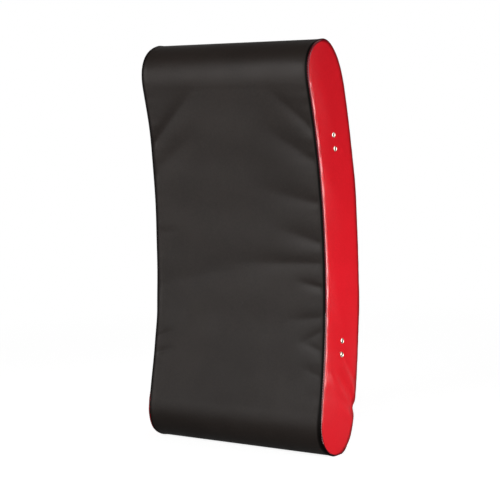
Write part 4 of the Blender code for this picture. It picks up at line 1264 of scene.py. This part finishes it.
def oval_section(half, high, power, high_power, sides):
    """The cross-section of a pad or sleeve: an oval with fuller corners."""
    across, up = np.cos(full_turn(sides)), np.sin(full_turn(sides))
    return np.stack([half * np.sign(across) * np.abs(across) ** power,
                     high * np.sign(up) * np.abs(up) ** high_power], axis=1)


def sweep(name, x, line, section, material, scale=None):
    """A closed section swept along a side view line; scale changes its size along the way."""
    y, z, normal_y, normal_z, along = (values[:, None] for values in line)
    scale = np.ones((len(y), 2)) if scale is None else scale
    across, height = section[None, :, 0] * scale[:, :1], section[None, :, 1] * scale[:, 1:]
    points = np.stack([x + across, y + height * normal_y, z + height * normal_z], axis=2)
    piece = new_piece(name, points, tube_faces(*points.shape[:2]), material)
    layer = piece.data.uv_layers.new(name="strap")
    spots = np.stack([across, np.broadcast_to(along, across.shape)], axis=2).reshape(-1, 2)
    corners = np.empty(len(piece.data.loops), dtype=np.int32)
    piece.data.loops.foreach_get("vertex_index", corners)
    layer.data.foreach_set("uv", spots[corners].astype(np.float32).ravel())
    fix_normals(piece)
    return piece


def make_webbing(kind, word, x, sizes):
    """One loop's webbing, sewn to the shield at both ends, in an upper and a lower half."""
    section = band_section(sizes["width"], WEBBING_SHEET)
    start, y = sewn_run(sizes), hinge_y(sizes)
    half = sizes["width"] / 2 - BOX_STITCH_INSET
    for end, level in ((1, "upper"), (-1, "lower")):
        line = loop_line(sizes, 0, end * sizes["half_span"], end)
        piece = sweep(f"{kind}_webbing_{word}_{level}", x, line, section, WEBBING)
        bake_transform(piece)
        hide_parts(f"{kind}_end_{word}_{level}", f"{kind}_{word}")
        low, high = end * (start + BOX_STITCH_INSET), end * (start + sizes["tab"] - BOX_STITCH_INSET)
        box = [(x - half, low), (x + half, low), (x + half, high), (x - half, high), (x - half, low),
               (x + half, high), (x + half, low), (x - half, high)]
        back_stitches(f"{kind}_box_stitches_{word}_{level}", box, SEWN_LIFT + WEBBING_SHEET / 2, BOX_STITCH,
                      BOX_THREAD)


# An arm strap's pad: its mesh and section, its thinner ends, its binding and its stitches.
PAD_SIDES, PAD_STEP = 48, 0.003
PAD_SIDE_SHARE, PAD_HIGH_SHARE, PAD_HELD_SHARE = 0.94, 0.62, 0.93
PAD_POWER, PAD_HIGH_POWER = 0.72, 0.9
PAD_END_DROP_SHARE, PAD_END_SHARE = 0.55, 0.14
BINDING = ((-0.0016, -0.0012), (0.0022, -0.0014), (0.0029, 0), (0.0022, 0.0014), (-0.0016, 0.0012))
PAD_STITCH_FROM, PAD_STITCH_TO, PAD_STITCH_PITCH, PAD_STITCH_LENGTH = 0.003, 0.002, 0.0036, 0.0026
PAD_STITCH_OUT, PAD_STITCH_LIFT, PAD_THREAD_RADIUS = 0.0006, 0.00135, 0.00035


def make_pad(word, x, body):
    """A padded sleeve round an arm strap, blown up by a cloth simulation, with bound side seams."""
    line = middle_line(ARM_STRAP, PAD_STEP)
    length = line[4][-1]
    along = line[4] / length * 2 - 1
    half = ARM_STRAP["pad_width"] / 2 * PAD_SIDE_SHARE
    high = ARM_STRAP["pad_thickness"] / 2 * PAD_HIGH_SHARE
    section = oval_section(half, high, PAD_POWER, PAD_HIGH_POWER, PAD_SIDES)
    ends = 1 - PAD_END_DROP_SHARE * smooth((np.abs(along) - 1 + PAD_END_SHARE) / PAD_END_SHARE)
    scale = np.stack([np.ones_like(ends), ends], axis=1)
    piece = sweep(f"arm_strap_pad_{word}_cushion", x, line, section, PADDING, scale)
    puff(piece, x, half * PAD_HELD_SHARE)
    dress(piece, "padding", f"arm_strap_pad_{word}", body=body)
    spots = np.arange(PAD_STITCH_FROM, length - PAD_STITCH_TO, PAD_STITCH_PITCH)
    y, z, normal_y, normal_z = (np.interp(spots, line[4], values) for values in line[:4])
    way = np.stack([0 * spots, -normal_z, normal_y], axis=1)
    for side, hand in ((-1, "outer"), (1, "inner")):
        edge = np.array([(side * (half + out), up) for out, up in BINDING])
        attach(sweep(f"arm_strap_pad_{word}_binding_{hand}", x, line, edge, BLACK), body)
        seam = np.stack([np.full_like(spots, x + side * (half + PAD_STITCH_OUT)), y, z], axis=1)
        for face, look in ((1, "back"), (-1, "front")):
            up = face * np.stack([0 * spots, normal_y, normal_z], axis=1)
            stitches(f"arm_strap_pad_{word}_stitches_{hand}_{look}", seam + up * PAD_STITCH_LIFT, way, up,
                     DARK_THREAD, PAD_THREAD_RADIUS, PAD_STITCH_LENGTH, body)


# The pads' cloth simulation: its mesh, what is held, pressure, stiffness and how far the cloth may move.
PUFF_MESH, PUFF_END_HELD, PUFF_CAP = 0.0032, 0.006, 0.0038
PUFF_PRESSURE, PUFF_STIFFNESS, PUFF_BENDING, PUFF_SHRINK_SHARE = 4.0, 12, 0.1, -0.06
PUFF_QUALITY, PUFF_FRAMES = 6, 20
NO_MOVE = 1e-9


def puff(piece, x, half):
    """Blow up a closed piece with cloth pressure. Its side seams and both ends stay where they are."""
    scene = bpy.context.scene
    even = piece.modifiers.new("even", "REMESH")
    even.mode = "VOXEL"
    even.voxel_size = PUFF_MESH
    bake_modifiers(piece)
    mesh = piece.data
    before = np.array([vertex.co[:] for vertex in mesh.vertices])
    held = piece.vertex_groups.new(name="held")
    low, high = before[:, 2].min(), before[:, 2].max()
    for index, place in enumerate(before):
        if abs(place[0] - x) > half or min(place[2] - low, high - place[2]) < PUFF_END_HELD:
            held.add([index], 1.0, "ADD")
    cloth = piece.modifiers.new("cloth", "CLOTH")
    cloth.settings.use_pressure = True
    cloth.settings.uniform_pressure_force = PUFF_PRESSURE
    cloth.settings.effector_weights.gravity = 0
    cloth.settings.vertex_group_mass = "held"
    cloth.settings.quality = PUFF_QUALITY
    cloth.settings.tension_stiffness = PUFF_STIFFNESS
    cloth.settings.compression_stiffness = PUFF_STIFFNESS
    cloth.settings.bending_stiffness = PUFF_BENDING
    cloth.settings.shrink_min = PUFF_SHRINK_SHARE
    cloth.point_cache.frame_end = PUFF_FRAMES
    for frame_number in range(1, PUFF_FRAMES + 1):
        scene.frame_set(frame_number)
    graph = bpy.context.evaluated_depsgraph_get()
    after = np.array([vertex.co[:] for vertex in piece.evaluated_get(graph).data.vertices])
    piece.modifiers.clear()
    scene.frame_set(1)
    move = after - before
    size = np.linalg.norm(move, axis=1)[:, None]
    move = move * np.minimum(1, PUFF_CAP / np.maximum(size, NO_MOVE))
    mesh.vertices.foreach_set("co", (before + move).astype(np.float32).ravel())
    mesh.update()
    finer = piece.modifiers.new("finer", "SUBSURF")
    finer.levels = 1
    finer.render_levels = 1
    bake_modifiers(piece)
    piece.data.shade_smooth()


# A hand grip's sleeve: its mesh and section, its ribs, its plain collars and its rounded ends.
SLEEVE_SIDES, SLEEVE_STEP, SLEEVE_POWER = 64, 0.0005, 0.8
SLEEVE_RIB_PITCH, SLEEVE_RIB = 0.0048, 0.0010
SLEEVE_COLLAR, SLEEVE_COLLAR_EASE, SLEEVE_ROUND = 0.007, 0.001, 0.0022


def make_sleeve(word, x, body):
    """The ribbed rubber sleeve of a hand grip."""
    line = middle_line(HAND_GRIP, SLEEVE_STEP)
    half, high = HAND_GRIP["pad_width"] / 2, HAND_GRIP["pad_thickness"] / 2
    section = oval_section(half, high, SLEEVE_POWER, SLEEVE_POWER, SLEEVE_SIDES)
    along, length = line[4], line[4][-1]
    from_end = np.minimum(along, length - along)
    ribs = 0.5 - 0.5 * np.cos(2 * math.pi * (along - length / 2) / SLEEVE_RIB_PITCH)
    groove = SLEEVE_RIB * ribs ** 2 * smooth((from_end - SLEEVE_COLLAR) / SLEEVE_COLLAR_EASE)
    drop = groove + quarter_dip(from_end, SLEEVE_ROUND)
    scale = np.stack([1 - drop / half, 1 - drop / high], axis=1)
    piece = sweep(f"hand_grip_sleeve_{word}_ribbed", x, line, section, RUBBER, scale)
    dress(piece, "grip_rubber", f"hand_grip_sleeve_{word}", body=body)


def make_straps(word, side):
    """The arm strap and the hand grip on one half of the back."""
    for kind, sizes, loop in (("arm_strap", ARM_STRAP, "arm_loop"), ("hand_grip", HAND_GRIP, "grip_loop")):
        x = side * (float(half_width(MID_HEIGHT)) - sizes["from_side"])
        body = f"{loop}_{word}"
        for level in ("upper", "lower"):
            make_patch(kind, word, level, x, sizes)
        make_webbing(kind, word, x, sizes)
        if kind == "arm_strap":
            make_pad(word, x, body)
        else:
            make_sleeve(word, x, body)


# Half the length of the zip's tapes, as in the CAD part.
ZIP_LEVEL = float(placed(-ZIP_RUN, THICKNESS / 2)[1]) + ZIP_OPENING
ZIP_HALF = half_width(ZIP_LEVEL) - SEAM_MARGIN - ZIP_END_TAB - 2 * SEAT_GAP
# A tooth's outline as shares of its reach and half width, and its layers as shares of height and spread.
TOOTH_OUTLINE_SHARES = ((0.0, -0.62), (0.0, 0.62), (0.22, 0.95), (0.42, 0.55), (0.62, 0.60), (0.86, 1.0),
                        (1.0, 0.9), (1.0, -0.9), (0.86, -1.0), (0.62, -0.60), (0.42, -0.55), (0.22, -0.95))
TOOTH_LAYER_SHARES = ((-0.5, 0.80), (-0.38, 1.0), (0.38, 1.0), (0.5, 0.80))
TOOTH_NEAR_ROUND, TOOTH_FAR_ROUND, TOOTH_SHARP = 0.0006, 0.0004, math.radians(35)
# The tapes: grid, ripples, the cord along their inner edge, and how they are sewn in.
TAPE_ROWS, TAPE_COLUMNS, TAPE_SHEET_SHARE = 240, 15, 0.8
TAPE_RIPPLE, TAPE_RIPPLE_EASE, TAPE_RIPPLE_TURNS, TAPE_RIPPLE_SLANT = 0.00018, 0.004, 610, 300
TAPE_CORD, TAPE_CORD_REACH, TAPE_SINK = 0.0004, 0.0006, 0.0001
TAPE_STITCH_INSET, TAPE_STITCH_END = 0.0035, 0.002
# The tabs past the zip's ends: grid, the step over the side seam, the pressed rim, the puff and the stitches.
END_TAB_ROWS, END_TAB_COLUMNS, END_TAB_SHEET_SHARE = 40, 35, 0.9
END_TAB_STEP_REACH, END_TAB_RIM, END_TAB_RIM_REACH = 0.004, 0.0006, 0.0007
END_TAB_PUFF, END_TAB_PUFF_INSET, END_TAB_STITCH_INSET, END_TAB_STITCH_ROUND = 0.0003, 0.004, 0.003, 0.001


def make_teeth(word, side):
    """One row of the zip's moulded teeth."""
    row_end = ZIP_HALF - STOP_LENGTH - SEAT_GAP - TOOTH_PITCH
    shift = 0 if side > 0 else TOOTH_PITCH / 2
    centres = np.arange(-row_end + shift, row_end, TOOTH_PITCH)
    tooth = []
    for height, spread in TOOTH_LAYER_SHARES:
        near = TOOTH_NEAR + (1 - spread) * TOOTH_NEAR_ROUND
        far = TOOTH_FAR - (1 - spread) * TOOTH_FAR_ROUND
        for reach, wide in TOOTH_OUTLINE_SHARES:
            tooth.append((wide * TOOTH_HALF * spread, side * (near + (far - near) * reach) - ZIP_RUN,
                          height * TOOTH_THICKNESS - SHEET / 2))
    x, run, lift = np.array(tooth).T
    spots, _, _ = back_place(centres[:, None] + x, run, lift)
    one = tube_faces(len(TOOTH_LAYER_SHARES), len(TOOTH_OUTLINE_SHARES))
    faces = repeated(one, len(centres), len(tooth))
    teeth = new_piece(f"zip_teeth_{word}_row", spots, faces, TEETH, TOOTH_SHARP)
    fix_normals(teeth)
    dress(teeth, "zip_teeth", f"zip_teeth_{word}")


def make_tape(word, side):
    """One of the zip's knitted tapes, with its stitches."""
    across = np.linspace(TAPE_NEAR, ZIP_OPENING / 2 - SEAT_GAP, TAPE_COLUMNS)
    x, out = np.meshgrid(np.linspace(-ZIP_HALF, ZIP_HALF, TAPE_ROWS), across, indexing="ij")
    ripple = TAPE_RIPPLE * np.sin(x * TAPE_RIPPLE_TURNS + out * TAPE_RIPPLE_SLANT)
    cord = TAPE_CORD * np.exp(-(((out - TAPE_NEAR - TAPE_CORD_REACH) / TAPE_CORD_REACH) ** 2))
    lift = ripple * smooth((out - TAPE_NEAR) / TAPE_RIPPLE_EASE) + cord - TAPE_SINK
    tape = back_sheet(f"zip_tape_{word}_knit", x, side * out - ZIP_RUN, lift, TAPE, SHEET * TAPE_SHEET_SHARE,
                      "zip_tape", f"zip_tape_{word}")
    row = side * (ZIP_OPENING / 2 - TAPE_STITCH_INSET) - ZIP_RUN
    end = ZIP_HALF - TAPE_STITCH_END
    back_stitches(f"zip_tape_stitches_{word}", [(-end, row), (end, row)], ZIP_STITCH_LIFT)


def make_end_tab(word, side):
    """The cover's tab past one end of the zip."""
    inner, outer = ZIP_HALF + SEAT_GAP, ZIP_HALF + SEAT_GAP + ZIP_END_TAB
    across = np.linspace(-1, 1, END_TAB_COLUMNS) * (ZIP_OPENING / 2 - SEAT_GAP)
    seam = half_width(placed(across - ZIP_RUN, THICKNESS / 2)[1]) - BEAD_RADIUS + SEAT_GAP
    x = inner + (seam - inner)[None, :] * np.linspace(0, 1, END_TAB_ROWS)[:, None]
    run = across[None, :] + 0 * x
    rim = np.minimum(x - inner, across[-1] - np.abs(run))
    over = SHEET * smooth((x - outer + END_TAB_STEP_REACH) / (2 * END_TAB_STEP_REACH))
    puffed = END_TAB_PUFF * smooth((rim - END_TAB_PUFF_INSET) / END_TAB_PUFF_INSET)
    lift = over - END_TAB_RIM * np.exp(-rim / END_TAB_RIM_REACH) + puffed
    tab = back_sheet(f"zip_end_tab_{word}_sheet", side * x, run - ZIP_RUN, lift, BLACK,
                     SHEET * END_TAB_SHEET_SHARE, "black_cover", f"zip_end_tab_{word}")
    box = rounded_box((side * inner, side * outer), across - ZIP_RUN, END_TAB_STITCH_INSET,
                      END_TAB_STITCH_ROUND, 2)
    back_stitches(f"zip_end_stitches_{word}", box, ZIP_STITCH_LIFT, CLOSE_STITCH)


def make_zip():
    """The zip across the back, and the cover's tabs past its ends."""
    for side, word in ((1, "upper"), (-1, "lower")):
        make_teeth(word, side)
        make_tape(word, side)
    for side, word in ((-1, "left"), (1, "right")):
        make_end_tab(word, side)


# The camera: turned about the object's upright, then tipped, then rolled, as fitted to the photograph.
CAMERA_YAW = -0.6117
CAMERA_PITCH = 0.1063
CAMERA_ROLL = -0.0279
CAMERA_ASIDE = -0.02093
CAMERA_ABOVE = 0.00663
CAMERA_DISTANCE = 3.33685
CAMERA_LENS = 113.90
CAMERA_SENSOR = 36
MIDDLE_TARGET, LOW_TARGET = (0, 0.02, 0.43), (0, 0.02, 0.14)
# The lamps: name, azimuth and elevation in degrees, distance, size, power and target.
LAMPS = (
    ("key", -12, 21, 2.6, (1.3, 1.0), 35, MIDDLE_TARGET),
    ("side", 92, 2, 1.15, (1.2, 0.5), 8.9, LOW_TARGET),
    ("front", -29, 1, 2.6, (1.8, 1.3), 13, MIDDLE_TARGET),
    ("top", 150, 62, 2.2, (1.4, 0.8), 12, MIDDLE_TARGET),
    ("edge", 88, 4, 1.6, (2.5, 2.4), 190, MIDDLE_TARGET),
)


def make_camera():
    """The photograph's viewpoint."""
    turn = (Matrix.Rotation(CAMERA_ROLL, 3, "Y") @ Matrix.Rotation(CAMERA_PITCH, 3, "X")
            @ Matrix.Rotation(CAMERA_YAW, 3, "Z"))
    back = turn.transposed()
    axes = Matrix([back @ Vector(way) for way in ((1, 0, 0), (0, 0, 1), (0, -1, 0))]).transposed()
    middle = Vector((0, -FOOT_MIDDLE, MID_HEIGHT))
    place = middle - back @ Vector((CAMERA_ASIDE, CAMERA_DISTANCE, CAMERA_ABOVE))
    data = bpy.data.cameras.new("camera")
    data.lens = CAMERA_LENS
    data.sensor_width = CAMERA_SENSOR
    camera = bpy.data.objects.new("camera", data)
    camera.matrix_world = Matrix.Translation(place) @ axes.to_4x4()
    bpy.context.scene.collection.objects.link(camera)
    bpy.context.scene.camera = camera


def area_light(name, azimuth, elevation, distance, size, power, target):
    """A soft box that looks at a target. Azimuth 0 is in front, 90 is to the right."""
    a, e = math.radians(azimuth), math.radians(elevation)
    way = Vector((math.sin(a) * math.cos(e), -math.cos(a) * math.cos(e), math.sin(e)))
    data = bpy.data.lights.new(name, "AREA")
    data.shape = "RECTANGLE"
    data.size, data.size_y = size
    data.energy = power
    lamp = bpy.data.objects.new(name, data)
    lamp.location = Vector(target) + way * distance
    lamp.rotation_euler = way.to_track_quat("Z", "Y").to_euler()
    bpy.context.scene.collection.objects.link(lamp)
    return lamp


def looked_at(nodes, links):
    """1 for the camera's own rays, and 1 for glossy and transmitted ones."""
    path = nodes.new("ShaderNodeLightPath").outputs
    return path["Is Camera Ray"], combine(nodes, links, "MAXIMUM", path["Is Glossy Ray"],
                                          path["Is Transmission Ray"])


# The world's light on the object, its dim ceiling by height, and its dark screen by how squarely it is faced.
WORLD_LIGHT = 0.42
CEILING = (0.15, 0.55, 1.0, 0.10)
SCREEN_AZIMUTH = math.radians(165)
SCREEN = (0.42, 0.72, 1.0, 0.10)


def make_world():
    """A pale studio: white to the eye, with a dim ceiling and a dark screen behind on the right."""
    world = bpy.data.worlds.new("studio")
    bpy.context.scene.world = world
    world.use_nodes = True
    nodes, links = world.node_tree.nodes, world.node_tree.links
    nodes.clear()
    place = nodes.new("ShaderNodeTexCoord").outputs["Generated"]
    split = nodes.new("ShaderNodeSeparateXYZ")
    links.new(place, split.inputs[0])
    facing = nodes.new("ShaderNodeVectorMath")
    facing.operation = "DOT_PRODUCT"
    facing.inputs[1].default_value = (math.sin(SCREEN_AZIMUTH), -math.cos(SCREEN_AZIMUTH), 0)
    links.new(place, facing.inputs[0])
    room = combine(nodes, links, "MULTIPLY", eased(nodes, links, split.outputs["Z"], *CEILING),
                   eased(nodes, links, facing.outputs["Value"], *SCREEN))
    camera_ray, looking = looked_at(nodes, links)
    lit = combine(nodes, links, "MULTIPLY", room, eased(nodes, links, looking, 0, 1, WORLD_LIGHT, 1.0))
    background = nodes.new("ShaderNodeBackground")
    background.inputs["Color"].default_value = (1, 1, 1, 1)
    links.new(combine(nodes, links, "MAXIMUM", lit, camera_ray), background.inputs["Strength"])
    output = nodes.new("ShaderNodeOutputWorld")
    links.new(background.outputs[0], output.inputs[0])


FLOOR_RADIUS = 2.6
FLOOR_NEAR = 0.55
FLOOR_FAR = 2.2
FLOOR_SIDES = 96
FLOOR_COLOUR, FLOOR_COLOUR_MIRRORED = 0.40, 0.22
FLOOR_GLOW, FLOOR_GLOW_MIRRORED_SHARE = 0.87, 0.10


def make_floor():
    """A pale floor that keeps the shadow near the shield and turns to the background's white further out."""
    bpy.ops.mesh.primitive_circle_add(vertices=FLOOR_SIDES, radius=FLOOR_RADIUS, fill_type="NGON")
    floor = bpy.context.object
    floor.name = "studio_floor"
    material = bpy.data.materials.new("studio_floor")
    material.use_nodes = True
    nodes, links = material.node_tree.nodes, material.node_tree.links
    nodes.clear()
    reach = nodes.new("ShaderNodeVectorMath")
    reach.operation = "LENGTH"
    links.new(nodes.new("ShaderNodeTexCoord").outputs["Object"], reach.inputs[0])
    fade = eased(nodes, links, reach.outputs["Value"], FLOOR_NEAR, FLOOR_FAR, 0, 1)
    camera_ray, looking = looked_at(nodes, links)
    mirrored = combine(nodes, links, "MULTIPLY", looking, FLOOR_GLOW_MIRRORED_SHARE)
    seen = combine(nodes, links, "MAXIMUM", camera_ray, mirrored)
    matte = nodes.new("ShaderNodeBsdfDiffuse")
    colour = eased(nodes, links, looking, 0, 1, FLOOR_COLOUR, FLOOR_COLOUR_MIRRORED)
    links.new(colour, matte.inputs["Color"])
    lift = nodes.new("ShaderNodeEmission")
    links.new(combine(nodes, links, "MULTIPLY", seen, FLOOR_GLOW), lift.inputs["Strength"])
    near = nodes.new("ShaderNodeAddShader")
    links.new(matte.outputs[0], near.inputs[0])
    links.new(lift.outputs[0], near.inputs[1])
    white = nodes.new("ShaderNodeEmission")
    links.new(combine(nodes, links, "MAXIMUM", seen, WORLD_LIGHT), white.inputs["Strength"])
    mix = nodes.new("ShaderNodeMixShader")
    links.new(fade, mix.inputs[0])
    links.new(near.outputs[0], mix.inputs[1])
    links.new(white.outputs[0], mix.inputs[2])
    output = nodes.new("ShaderNodeOutputMaterial")
    links.new(mix.outputs[0], output.inputs[0])
    floor.data.materials.append(material)


make_camera()
make_world()
make_floor()
lamps = {lamp[0]: area_light(*lamp) for lamp in LAMPS}
# These two draw only reflections.
lamps["front"].visible_diffuse = False
lamps["edge"].visible_diffuse = False

make_covers()
make_foam()
for panel_side, panel_word in ((-1, "left"), (1, "right")):
    make_side_panel(panel_word, panel_side)
    make_bead(panel_word, panel_side)
    make_eyelets(panel_word, panel_side)
    make_straps(panel_word, panel_side)
make_back_seams()
make_zip()

EDGE_LIT_STARTS = ("piping", "side_panel", "eyelet_left", "eyelet_right")
EDGE_ROUNDING = 0.00025
ZIP_METAL_STARTS = ("zip_slider", "zip_pull", "zip_stop")
# Of the CAD part's own solids only the metal of the zip and the eyelets' washers are seen.
for node, solid in frame["nodes"].items():
    if node.startswith(ZIP_METAL_STARTS + ("eyelet_washer",)):
        solid.data.materials.clear()
        solid.data.materials.append(NICKEL)
    if node.startswith(ZIP_METAL_STARTS):
        edges = solid.modifiers.new("edges", "BEVEL")
        edges.width = EDGE_ROUNDING
        edges.segments = 3
        edges.limit_method = "ANGLE"

bpy.context.scene.view_settings.view_transform = "Standard"
# The edge lamp draws the gleam along the red seams; the black cover would mirror it as a grey sheet.
edge_lit = bpy.data.collections.new("edge_lit")
for piece in list(bpy.context.scene.objects):
    if piece.name.startswith(EDGE_LIT_STARTS):
        edge_lit.objects.link(piece)
lamps["edge"].light_linking.receiver_collection = edge_lit
